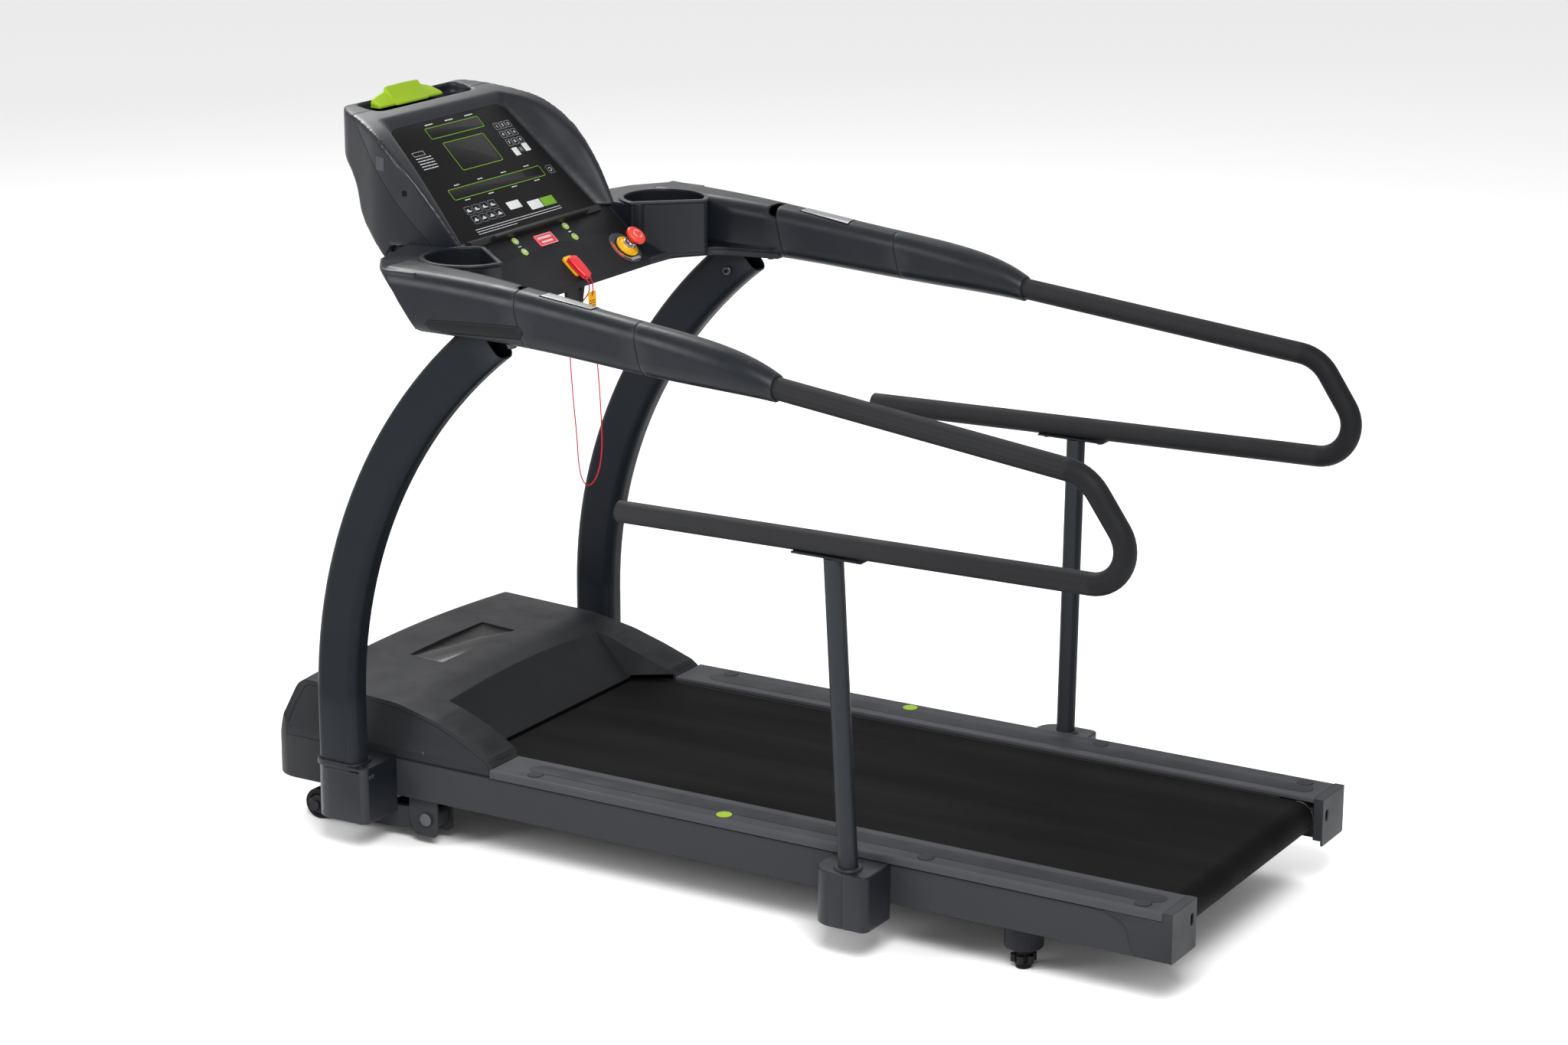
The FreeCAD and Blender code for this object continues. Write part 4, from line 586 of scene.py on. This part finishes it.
def solid_mesh(verts, faces):
    """A closed mesh for boolean work, not yet part of the scene's pieces."""
    mesh = bpy.data.meshes.new("work")
    mesh.from_pydata([tuple(vertex) for vertex in verts], [], faces)
    work = bmesh.new()
    work.from_mesh(mesh)
    bmesh.ops.recalc_face_normals(work, faces=work.faces)
    work.to_mesh(mesh)
    work.free()
    solid = bpy.data.objects.new("work", mesh)
    SCENE.collection.objects.link(solid)
    return solid


def combined(first, second, operation):
    """Boolean of two work solids; the second is used up."""
    modifier = first.modifiers.new("boolean", "BOOLEAN")
    modifier.operation = operation
    modifier.solver = "EXACT"
    modifier.object = second
    settle(first)
    bpy.data.objects.remove(second)
    return first


def settle(solid):
    """Bakes an object's modifiers into its mesh."""
    bpy.context.view_layer.update()
    baked = bpy.data.meshes.new_from_object(solid.evaluated_get(bpy.context.evaluated_depsgraph_get()))
    solid.modifiers.clear()
    solid.data = baked


def side_prism(profile, half):
    return solid_mesh(*rings_to_mesh([[Vector((x, y, z)) * MM for y, z in profile] for x in (-half, half)]))


def top_prism(plan, low, high):
    return solid_mesh(*rings_to_mesh([[Vector((x, y, z)) * MM for x, y in plan] for z in (low, high)]))


def softened(solid, voxel, rounds):
    """Even quads all over, then every edge eased into the next face."""
    remesh = solid.modifiers.new("even", "REMESH")
    remesh.mode = "VOXEL"
    remesh.voxel_size = voxel * MM
    ease = solid.modifiers.new("ease", "SMOOTH")
    ease.factor = 0.5
    ease.iterations = rounds
    settle(solid)
    return solid


def add_band(name, mesh, place, normal, half_width, finish="seam", body="base", lift=0.12):
    """A thin near-black line of painted shade on a surface where a plane crosses it, such as the joint
    between two covers.
    """
    place = Vector(place) * MM
    normal = Vector(normal).normalized()
    work = bmesh.new()
    work.from_mesh(mesh)
    for sign in (1, -1):
        geometry = list(work.verts) + list(work.edges) + list(work.faces)
        bmesh.ops.bisect_plane(work, geom=geometry, plane_co=place + normal * half_width * MM * sign,
                               plane_no=normal * sign, clear_outer=True)
    work.normal_update()
    for vertex in work.verts:
        vertex.co += vertex.normal * lift * MM
    verts = [vertex.co.copy() for vertex in work.verts]
    work.verts.index_update()
    faces = [tuple(vertex.index for vertex in face.verts) for face in work.faces]
    work.free()
    flat = bpy.data.meshes.new(name)
    flat.from_pydata([tuple(vertex) for vertex in verts], [], faces)
    flat.materials.append(MATERIALS[finish])
    piece = bpy.data.objects.new(name, flat)
    SCENE.collection.objects.link(piece)
    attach(piece, body)


HEAD_SIDE = [(528, 1098), (570, 1162, 26), (611, 1213, 26), (652, 1251, 26), (700, 1284, 28),
             (760, 1303, 30), (838, 1317, 12), (842, 1236, 14), (800, 1211, 24), (774, 1176, 22),
             (764, 1128, 34), (686, 1066), (668, 1093), (530, 1093.5)]
HEAD_TOP = [(244, 520), (266, 572, 28), (276, 640, 32), (262, 700, 30), (222, 772, 36), (196, 822, 26),
            (150, 846, 34)]
FAN_PLAN = [(-152, 776, 26), (152, 776, 26), (152, 832, 26), (-152, 832, 26)]
FILM_LENGTH = 262.0
HEAD_SEAM = -16.0


def add_console_head():
    """The console head as one softened form: a dished face, broad rolled rims and a sunken fan outlet."""
    head = side_prism(smooth_outline(HEAD_SIDE), 300)
    plan = HEAD_TOP + [(-corner[0],) + corner[1:] for corner in reversed(HEAD_TOP)]
    head = combined(head, top_prism(smooth_outline(plan), 1040, 1360), "INTERSECT")
    dish = []
    for height, grow in ((-1.0, 0.0), (3.0, 1.0), (9.0, 8.0), (80.0, 86.0)):
        corners = ((-(227 + grow), -40), (227 + grow, -40), (177 + grow, FILM_LENGTH - 1 + grow * 3.2),
                   (-(177 + grow), FILM_LENGTH - 1 + grow * 3.2))
        dish.append([OVERLAY.point(u, v, height) for u, v in corners])
    head = combined(head, solid_mesh(*rings_to_mesh(dish)), "DIFFERENCE")
    head = combined(head, top_prism(smooth_outline(FAN_PLAN), 1292, 1350), "DIFFERENCE")
    head = softened(head, 3.0, 16)
    mesh = head.data
    bpy.data.objects.remove(head)
    verts = [vertex.co.copy() for vertex in mesh.vertices]
    faces = [tuple(polygon.vertices) for polygon in mesh.polygons]
    piece = add_piece("console_head", verts, faces, "head")
    piece.data.materials.append(MATERIALS["shell"])
    for polygon in piece.data.polygons:
        if (polygon.center / MM - OVERLAY.origin).dot(OVERLAY.normal) < HEAD_SEAM:
            polygon.material_index = 1
    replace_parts(piece, "console_face", "console_shell")
    # the console seam is a near-black band of painted shade in the joint between face and shell
    add_band("console_seam", piece.data, OVERLAY.point(0, 0, HEAD_SEAM) / MM, OVERLAY.normal, 0.5)


def add_display_film():
    """The printed film, with rounded upper corners."""
    def outline_at(inset):
        low, high = 219.0 - inset, 175.0 - inset
        return smooth_outline([(-low, 1 + inset), (low, 1 + inset), (high, FILM_LENGTH - 3 - inset, 24),
                               (-high, FILM_LENGTH - 3 - inset, 24)])
    film = add_plate("display_film", OVERLAY, outline_at, -1.2, 0.0, "film", bevel=0.3)
    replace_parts(film, "overlay_panel")


# ---------------------------------------------------------------- console base
RAKE_EDGE = ((474, 540), (400, 592))
RAKE_TOP = 1100.0
RAKE_SET_BACK = 0.62
PANEL_HALF = 240.0
PANEL_FRONT = 560.0


def add_raked(name, node):
    """A CAD cover with its two front corners cut back towards the floor and closed again."""
    (x1, y1), (x2, y2) = RAKE_EDGE
    work = bmesh.new()
    work.from_mesh(NODES[node].data)
    bmesh.ops.remove_doubles(work, verts=work.verts, dist=2e-6)
    for sign in (-1, 1):
        place = Vector((x1 * sign, y1, RAKE_TOP)) * MM
        along = Vector(((x2 - x1) * sign, y2 - y1, 0))
        out = Vector((abs(along.y) * sign, abs(along.x), 0)).normalized()
        normal = (out - Vector((0, 0, RAKE_SET_BACK))).normalized()
        geometry = list(work.verts) + list(work.edges) + list(work.faces)
        cut = bmesh.ops.bisect_plane(work, geom=geometry, plane_co=place, plane_no=normal, clear_outer=True)
        edges = [item for item in cut["geom_cut"] if isinstance(item, bmesh.types.BMEdge)]
        closed = bmesh.ops.holes_fill(work, edges=edges)
        bmesh.ops.triangulate(work, faces=closed["faces"])
    work.verts.index_update()
    verts = [vertex.co.copy() for vertex in work.verts]
    faces = [tuple(vertex.index for vertex in face.verts) for face in work.faces]
    work.free()
    piece = sharpen(add_piece(name, verts, faces, "shell"), 32)
    piece.data.materials.append(MATERIALS["panel"])
    for polygon in piece.data.polygons:
        centre = polygon.center / MM
        if abs(centre.x) < PANEL_HALF and centre.y < PANEL_FRONT:
            polygon.material_index = 1
    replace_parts(piece, node)


# ---------------------------------------------------------------- display panel prints
PRINT_LOW = -0.1
PRINT_HIGH = 0.25


def add_overlay_prints():
    """Display outlines, keypad, programme keys and rows of small print on the display panel."""
    low, high = PRINT_LOW, PRINT_HIGH
    windows = [(0, 231, 83, 12.5), (0, 174, 64, 32.5), (0, 99.5, 145, 12)]
    for index, (u, v, half_u, half_v) in enumerate(windows, 1):
        add_key(f"display_window_{index}", OVERLAY, u, v, half_u - 0.9, half_v - 0.9, 3, low, 0.08,
                "window", bevel=0.05)
    outlines = [box_outline(OVERLAY, *window, 1.2, 4, low, high) for window in windows]
    add_print("display_outlines", outlines, "line")

    boxes, digits = [], []
    columns = (115.0, 133.0, 151.0)
    rows = (212.0, 192.5, 173.0, 153.5)
    labels = ("123", "456", "789", " 0 ")
    for v, label in zip(rows, labels):
        for u, digit in zip(columns, label):
            if digit != " ":
                half = 7.6 if digit != "0" else 5.0
                boxes.append(box_outline(OVERLAY, u, v, half, half, 0.9, 2, low, high))
                digits.append(digit_geometry(OVERLAY, digit, u, v, 9.0 if digit != "0" else 6.0, low, high))
    for u in (-128.5, -104.0, -79.5, -55.0):
        for v in (61.0, 40.0):
            boxes.append(box_outline(OVERLAY, u, v, 10.2, 8.8, 0.6, 2, low, high))
            for bar in range(4):
                left = u - 6 + bar * 3.1
                top = v - 3 + (2.0, 4.6, 6.4, 3.4)[(bar + int(v)) % 4]
                digits.append(slab(OVERLAY, left, left + 2.3, v - 3.4, top, low, high))
    boxes.append(box_outline(OVERLAY, 169, 97.6, 9, 9, 0.7, 2, low, high))
    digits.append(arc_band(OVERLAY, 169, 97.6, 3.4, 4.4, 200, 520, low, high))
    add_print("key_outlines", boxes, "outline")
    add_print("key_symbols", digits, "print")

    for name, u, v, half_u, half_v, finish in (
            ("enter_key", -1, 47.5, 19, 8.5, "key"), ("start_key", 56, 36.5, 19, 9.5, "key"),
            ("quick_start_key", 97.5, 36.5, 20, 9.5, "line"), ("clear_key", 115, 151.5, 8.2, 9, "key"),
            ("accept_key", 151, 155.5, 8.2, 9, "key")):
        add_key(name, OVERLAY, u, v, half_u, half_v, 1.5, low, 0.35, finish, bevel=0.15)

    rows_of_print = print_rows(OVERLAY, -163, -118, (188, 182, 176, 170, 164), 1.7, low, high, 11)
    rows_of_print += print_rows(OVERLAY, -150, 120, (20.5, 15.5), 1.3, low, high, 23)
    rows_of_print += print_rows(OVERLAY, -150, -30, (10.5,), 1.3, low, high, 5)
    for u in (-62, 0, 62):
        rows_of_print += print_rows(OVERLAY, u - 12, u + 12, (251,), 2.2, low, high, 7 + u)
    for u, v in ((-110, 118), (-37, 118), (37, 118), (110, 118), (-110, 84), (-37, 84), (37, 84), (110, 84)):
        rows_of_print += print_rows(OVERLAY, u - 8, u + 8, (v,), 1.9, low, high, 31 + u)
    rows_of_print.append(box_outline(OVERLAY, -146, 197, 17, 4.5, 0.6, 1, low, high))
    add_print("small_print", rows_of_print, "print")


# ---------------------------------------------------------------- lower panel controls
BUTTON_FACE = 1.6
STOP_FACE = 1.8


def add_button_symbols():
    """Plus, minus and arrow symbols on the round buttons, and a blank bordered face on the stop button."""
    low, high = BUTTON_FACE - 0.2, BUTTON_FACE + 0.15
    up, down = 118.0, 91.0
    for name, u, v in (("speed_up_button", 81, up), ("speed_down_button", 81, down),
                       ("incline_up_button", -81, up), ("incline_down_button", -81, down)):
        ring = frame_geometry(PANEL, rounded_rect(u, v, 7.0, 7.0, 7.0, steps=10),
                              rounded_rect(u, v, 7.0, 7.0, 7.0, 0.8, steps=10), low, high)
        parts = [ring]
        if "speed" in name:
            parts.append(slab(PANEL, u - 4.2, u + 4.2, v - 1.1, v + 1.1, low, high))
            if "up" in name:
                parts.append(slab(PANEL, u - 1.1, u + 1.1, v + 1.1, v + 4.2, low, high))
                parts.append(slab(PANEL, u - 1.1, u + 1.1, v - 4.2, v - 1.1, low, high))
        else:
            tip = 4.2 if "up" in name else -4.2
            foot = v - tip * 0.7
            parts.append(polygon_slab(PANEL, [(u - 4.4, foot), (u + 4.4, foot), (u, v + tip)], low, high))
        add_print(name + "_symbol", parts, "key", name)
    low, high = STOP_FACE - 0.2, STOP_FACE + 0.15
    border = box_outline(PANEL, 0, 103.5, 27.0, 11.9, 0.9, 2, low, high)
    rows = print_rows(PANEL, -21, 21, (111.0,), 5.2, low, high, 3)
    rows += print_rows(PANEL, -17, 17, (101.0,), 4.2, low, high, 9)
    add_print("stop_button_print", [border] + rows, "key", "stop_button")
    dashes = []
    for u in (-81, 81):
        dashes += print_rows(PANEL, u - 4, u + 4, (106.0,), 2.6, -0.1, 0.15, 17 + u)
    add_print("button_captions", dashes, "print")


ESTOP_U, ESTOP_V = 195.0, 38.5
DISC_U, DISC_V = 189, 38


def add_emergency_stop():
    """A mushroom head on a plated stem, over a yellow ring and a grey disc with turning arrows."""
    base = PANEL.point(ESTOP_U, ESTOP_V) / MM
    axis = PANEL.normal
    add_lathe("estop_label_disc", [(24, 0.0), (36, 0.0), (36, 0.35), (35.7, 0.5), (24, 0.5)],
              PANEL.point(DISC_U, DISC_V) / MM, axis, "label", steps=64)
    low, high = 0.4, 0.62
    arcs = [arc_band(PANEL, DISC_U, DISC_V, 26.5, 27.8, turn, turn + 55, low, high) for turn in (150, 215)]
    for turn in (205, 270):
        angle = math.radians(turn)
        corners = [(DISC_U + reach * math.cos(at), DISC_V + reach * math.sin(at))
                   for reach, at in ((27, angle + 0.16), (25, angle), (29.4, angle))]
        arcs.append(polygon_slab(PANEL, corners, low, high))
    add_print("estop_arrows", arcs, "tag")
    red = arc_band(PANEL, DISC_U, DISC_V, 30.2, 33.2, 140, 215, low, high)
    add_print("estop_red_arc", [red], "estop")
    add_print("estop_caption", print_rows(PANEL, 178, 206, (12.6, 9.6), 1.6, low, high, 41), "print")
    collar = add_lathe("estop_collar", [(6.35, 1.6), (23, 1.6), (23, 3.0), (22.4, 3.5), (16.4, 3.5),
                                        (15.2, 4.6), (15.2, 6.2), (14, 7.6), (6.35, 7.6)],
                       base, axis, "yellow", steps=64)
    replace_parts(collar, "estop_base")
    add_lathe("estop_nut", [(6.35, 7.4), (12.4, 7.4), (12.6, 8.2), (12.6, 10.4), (11.6, 11.2), (10.6, 11.6),
                            (10.6, 16.2), (10.2, 17.0), (6.35, 17.0)], base, axis, "steel", steps=48)
    add_lathe("estop_plinth", [(6.35, 0.0), (23, 0.0), (23, 1.6), (6.35, 1.6)], base, axis, "yellow",
              steps=64)
    dome = [(5.9, 8.0), (5.9, 22.0), (11.6, 22.6), (12.4, 24.0), (12.8, 26.6), (17.6, 27.0), (19.4, 28.0),
            (20.0, 30.0), (20.0, 32.6), (19.2, 34.6), (17.4, 35.9), (14.0, 36.6), (12.6, 36.4), (12.2, 36.0),
            (7.0, 36.5), (0.6, 36.8)]
    head = add_lathe("estop_mushroom", dome, base, axis, "estop", "estop_button", steps=64)
    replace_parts(head, "estop_button")
    top = Plane(PANEL.point(ESTOP_U, ESTOP_V, 36.4) / MM, PANEL.right, PANEL.up)
    arrows = [arc_band(top, 0, 0, 8.0, 9.4, turn, turn + 80, -0.3, 0.35) for turn in (20, 140, 260)]
    add_print("estop_head_arrows", arrows, "key", "estop_button")


def add_safety_key():
    """A moulded key with finger grooves on its magnetic base."""
    u, v, half = 9.0, 23.0, 26.0

    def outline_at(inset):
        points = []
        for step in range(49):
            along = -half + inset + (2 * half - 2 * inset) * (1 - math.cos(math.pi * step / 48)) / 2
            share = (along + half) / (2 * half)
            width = 10.0 + 4.3 * math.sin(math.pi * min(1.0, share * 0.82)) - inset
            end = min(1.0, (half - inset - abs(along)) / 4.0)
            points.append((width * math.sqrt(max(0.0, 1 - (1 - end) ** 2)), along))
        right = [(u + a, v + b) for a, b in points]
        left = [(u - a, v + b) for a, b in reversed(points[1:-1])]
        return right + left

    levels = ((0.6, 4.8), (0, 5.6), (0.2, 8.0), (1.4, 8.6), (1.6, 9.6), (0.6, 10.2), (0.2, 12.4),
              (1.0, 14.0), (2.6, 14.9))
    rings = [[PANEL.point(a, b, height) for a, b in outline_at(inset)] for inset, height in levels]
    verts, faces = rings_to_mesh(rings)
    grip = sharpen(add_piece("safety_key_grip", verts, faces, "red", "safety_key"), 50)
    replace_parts(grip, "safety_key")
    ribs = [slab(PANEL, u - 7.5, u + 7.5, v + offset - 0.7, v + offset + 0.7, 14.5, 15.3)
            for offset in (4, 8, 12, 16)]
    add_print("safety_key_ribs", ribs, "red", "safety_key")
    tongue = slab(PANEL, u - 7, u + 7, v - 1.5, v + 21.5, 2.9, 5.2)
    add_print("safety_key_magnet", [tongue], "steel", "safety_key")
    for side in (-1, 1):
        eye = PANEL.point(u + 6 * side, v - half + 0.4, 8) / MM
        add_lathe("safety_key_eye_" + ("left" if side < 0 else "right"),
                  [(1.3, 0), (2.2, 0), (2.3, 0.5), (2.2, 1.2), (1.3, 1.2)], eye, -PANEL.up, "red",
                  "safety_key", steps=24)


LANYARD_ROUTE = [
    (3, 432.5, 1008.1), (3.5, 428, 1002.5), (5, 427, 993), (9, 431, 981), (13, 441, 970), (13.5, 450, 961),
    (9, 457.5, 951), (-6, 460.5, 936), (-22, 456, 908), (-33, 446, 872), (-36, 441, 826), (-31, 440, 772),
    (-24, 439, 716), (-19, 440, 664), (-6, 441, 628), (18, 440, 611), (47, 439, 632), (61, 440, 676),
    (60, 441, 732), (54, 440, 788), (46, 439, 842), (38, 438, 890), (29, 437, 930), (22, 435, 957),
    (19, 433, 970), (17, 427, 982), (15.5, 427, 993), (15, 428, 1002.5), (15, 432.5, 1008.1)]


def add_lanyard():
    cord = add_tube("lanyard_cord", LANYARD_ROUTE, 1.2, "cord", "safety_key")
    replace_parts(cord, "lanyard")
    tag_plane = Plane((18, 429.6, 0), (1, 0, 0), (0, 0, 1))
    rows = print_rows(tag_plane, -9, 10, (966, 961.5, 957, 952.5, 948), 1.4, 0.0, 0.15, 77)
    print_piece = add_print("tag_print", rows, "seam", "safety_key")


# ---------------------------------------------------------------- rails, wheels, bolts and trim
RAIL_PLANE = Plane((0, 0, 178), (1, 0, 0), (0, 1, 0))
STRIP_X, STRIP_Y = 305, -268.5
DOT_X = 335


def add_rail_trim():
    """The long anti-slip strip moulded into each foot rail."""
    for side, sign in (("left", -1), ("right", 1)):
        def outline_at(inset, u=STRIP_X * sign):
            return rounded_rect(u, STRIP_Y, 19, 623.5, 19, inset, steps=10)

        add_plate(f"rail_strip_{side}", RAIL_PLANE, outline_at, -0.1, 0.5, "strip", bevel=0.3)


def add_rail_grooves():
    """Fine grooves round the rail dots and the anti-slip strips, as thin near-black bands of painted shade.
    """
    circle = rounded_rect(0, 0, 14.6, 14.6, 14.6, steps=10)
    parts = []
    for sign in (-1, 1):
        for y in (329.0, -66.0, -463.5, -866.0):
            outer = [(u + DOT_X * sign, v + y) for u, v in circle]
            inner = [(u * 0.95 + DOT_X * sign, v * 0.95 + y) for u, v in circle]
            parts.append(frame_geometry(RAIL_PLANE, outer, inner, -0.1, 0.06))
        parts.append(box_outline(RAIL_PLANE, STRIP_X * sign, STRIP_Y, 19.8, 624.3, 0.9, 19.8, -0.1, 0.06))
    add_print("rail_grooves", parts, "seam")


def add_blank_plates():
    """A blank plate in the hood's badge recess, and a blank label and a port on the head's left wall."""
    badge = Plane((0, 722, 266.6), (1, 0, 0), (0, 1, 0.054))
    add_key("hood_badge_blank", badge, 0, 0, 113, 34, 5, -0.2, 1.1, "window", bevel=0.4)
    head = bpy.data.objects["console_head"]
    # the head port is a near-black square of painted shade standing for its opening
    for name, y, z, half, finish in (("head_label", 690, 1236, 12, "label"),
                                     ("head_port", 631, 1190, 5, "seam")):
        _, place, normal, _ = head.ray_cast(Vector((-0.7, y * MM, z * MM)), Vector((1, 0, 0)))
        right = Vector((0, 0, 1)).cross(normal)
        wall = Plane(place / MM, right, normal.cross(right))
        add_key(name, wall, 0, 0, half, half, 2, -1.5, 0.5, finish, bevel=0.2)


def add_wheels():
    half = [(6.1, 13), (11, 13), (11.5, 10), (19, 10), (20.5, 12.6), (26, 12.6), (28.2, 11.4), (29, 9)]
    tyre = [(radius, -height) for radius, height in half] + half[::-1]
    for side, sign in (("left", -1), ("right", 1)):
        wheel = add_lathe(f"transport_wheel_{side}", tyre, (321 * sign, 822, 29), (1, 0, 0), "rubber",
                          f"{side}_wheel", steps=64)
        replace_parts(wheel, f"{side}_wheel")


def add_bolt_sockets():
    """Hexagon sockets in the visible bolt heads, as thin near-black hexagons of painted shade."""
    heads = [((431, 296 - 3.3, 991.5 - 9.0), (0, -0.35, -1), 4.4), ((386, 372, 958), (-1, 0, 0), 4.0),
             ((445.9, -284, 710), (0, 0, -1), 2.6), ((445.9, -392, 710), (0, 0, -1), 2.6),
             ((283, -925, 142), (0, -1, 0), 2.6)]
    for index, (place, axis, size) in enumerate(heads, 1):
        for side, sign in (("left", -1), ("right", 1)):
            base = (place[0] * sign, place[1], place[2])
            outward = (axis[0] * sign, axis[1], axis[2])
            add_lathe(f"bolt_socket_{index}_{side}",
                      [(size, -0.4), (size, 0.12), (size * 0.9, 0.12), (size * 0.2, 0.05)],
                      base, outward, "seam", steps=24, hexagon=(0, 1, 2))


def surface_x(node_names, sign, y, z):
    """Where a line along X first meets the outer side of some CAD nodes, in millimetres."""
    best = None
    for name in node_names:
        hit, place, _, _ = NODES[name].ray_cast(Vector((sign * 0.7, y * MM, z * MM)), Vector((-sign, 0, 0)))
        if hit and (best is None or place.x * sign > best * sign):
            best = place.x
    return None if best is None else best / MM


def sheet_faces(columns, rows):
    """Faces of a thin closed sheet: two layers of points, in rows, joined round the rim."""
    grid = (rows + 1) * (columns + 1)
    faces = []
    for row in range(rows):
        for column in range(columns):
            corner = row * (columns + 1) + column
            quad = (corner, corner + 1, corner + columns + 2, corner + columns + 1)
            faces += [quad, tuple(grid + index for index in reversed(quad))]
    rim = (list(range(columns)) + [r * (columns + 1) + columns for r in range(rows)]
           + [rows * (columns + 1) + c for c in range(columns, 0, -1)]
           + [r * (columns + 1) for r in range(rows, 0, -1)])
    faces += [(a, a + grid, b + grid, b) for a, b in zip(rim, rim[1:] + rim[:1])]
    return faces


ARM_PANEL_REAR, ARM_PANEL_LENGTH = 246, 201
ARM_PANEL_Z, ARM_PANEL_FALL = 1022, 9.5
ARM_PANEL_HALF_HEIGHT = 12.0
ARM_PANEL_END = 0.12    # how far in from each end the outline rounds off, where 1 is half the length
ARM_SIDE = 463          # where the arm's side is taken to be when a ray misses it


def add_arm_panels():
    """A long raised stadium on the outer side of each arm, hugging its curve."""
    for side, sign in (("left", -1), ("right", 1)):
        verts = []
        columns, rows = 40, 8
        for lift in (0.7, -0.4):
            for column in range(columns + 1):
                along = column / columns
                middle_y = ARM_PANEL_REAR + ARM_PANEL_LENGTH * along
                middle_z = ARM_PANEL_Z - ARM_PANEL_FALL * along
                into_end = max(0.0, abs(along - 0.5) * 2 - 1 + ARM_PANEL_END) / ARM_PANEL_END
                reach = ARM_PANEL_HALF_HEIGHT * math.sqrt(max(0.02, 1 - into_end ** 2))
                for row in range(rows + 1):
                    z = middle_z + reach * (2 * row / rows - 1)
                    x = surface_x(("console_base", "console_base_cover", "grip_covers"), sign, middle_y, z)
                    edge = lift - (0.5 if row in (0, rows) or column in (0, columns) else 0) * (lift > 0)
                    x = (ARM_SIDE * sign if x is None else x) + edge * sign
                    verts.append(Vector((x, middle_y, z)) * MM)
        add_piece(f"arm_panel_{side}", verts, sheet_faces(rows, columns), "panel")


def drape(node_names, x_range, y_range, lift, depth, columns=10, rows=30):
    """Verts and faces of a thin sheet laid over the top of some CAD nodes, in rows along Y."""
    verts = []
    for height in (lift, -depth):
        for row in range(rows + 1):
            for column in range(columns + 1):
                x = x_range[0] + (x_range[1] - x_range[0]) * column / columns
                y = y_range[0] + (y_range[1] - y_range[0]) * row / rows
                hits = [NODES[name].ray_cast(Vector((x * MM, y * MM, 1.3)), Vector((0, 0, -1)))
                        for name in node_names]
                top = max(place.z for hit, place, _, _ in hits if hit)
                verts.append((x * MM, y * MM, top + height * MM))
    return verts, sheet_faces(columns, rows)


def add_pulse_plates():
    """Bright contact plates bent over the crest of each grip, in a thin dark surround."""
    low, high = (Vector(corner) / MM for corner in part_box("pulse_plates"))
    under = ("pulse_plates", "grip_covers")
    inner = high.x - 27.4
    for name, finish, margin, lift in (("pulse_surrounds", "seam", 2.0, 0.3),
                                       ("pulse_contacts", "contact", -0.3, 0.7)):
        sheets = []
        for sign in (-1, 1):
            x_range = ((inner - margin) * sign, (high.x + margin) * sign)
            sheets.append(drape(under, x_range, (low.y - margin, high.y + margin), lift, 0.9))
        verts, faces = join_geometry(sheets)
        piece = add_piece(name, verts, faces, finish)
        if finish == "contact":
            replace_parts(sharpen(piece), "pulse_plates")


LOUVRE_PIVOT = (826, 1302)


def add_louvre():
    """The green fan flap: a tall middle with a stepped, tapering wing at each end."""
    stations = ((-97, 0.1), (-93, 0.3), (-74, 0.52), (-53, 0.68), (-50, 0.97), (-46, 1.0), (0, 1.03))
    stations = stations + tuple((-x, scale) for x, scale in reversed(stations[:-1]))
    pivot_y, pivot_z = LOUVRE_PIVOT
    rings = []
    for x, scale in stations:
        lip = 5 if abs(x) < 48 else 0
        ring = [(-15 - lip, -3), (-15 - lip, 1), (-8, 4 + 6 * scale), (6, 3 + 26 * scale),
                (9, 2 + 28 * scale), (11, 1 + 25 * scale), (8, -3)]
        rings.append([Vector((x, pivot_y + y, pivot_z + z)) * MM for y, z in ring])
    verts, faces = rings_to_mesh(rings)
    flap = sharpen(add_piece("fan_flap", verts, faces, "green", "fan_louvre"), 30)
    bevel = flap.modifiers.new("round", "BEVEL")
    bevel.width = 0.0012
    bevel.segments = 3
    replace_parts(flap, "fan_louvre")


MATERIALS = make_materials()
add_camera()
add_studio()
add_lanyard()
paint_nodes()
add_console_head()
add_display_film()
add_overlay_prints()
add_button_symbols()
add_emergency_stop()
add_safety_key()
add_rail_trim()
add_rail_grooves()
add_wheels()
add_bolt_sockets()
add_arm_panels()
add_pulse_plates()
add_blank_plates()
add_raked("console_base_shell", "console_base")
add_raked("console_base_underside", "console_base_cover")
add_louvre()
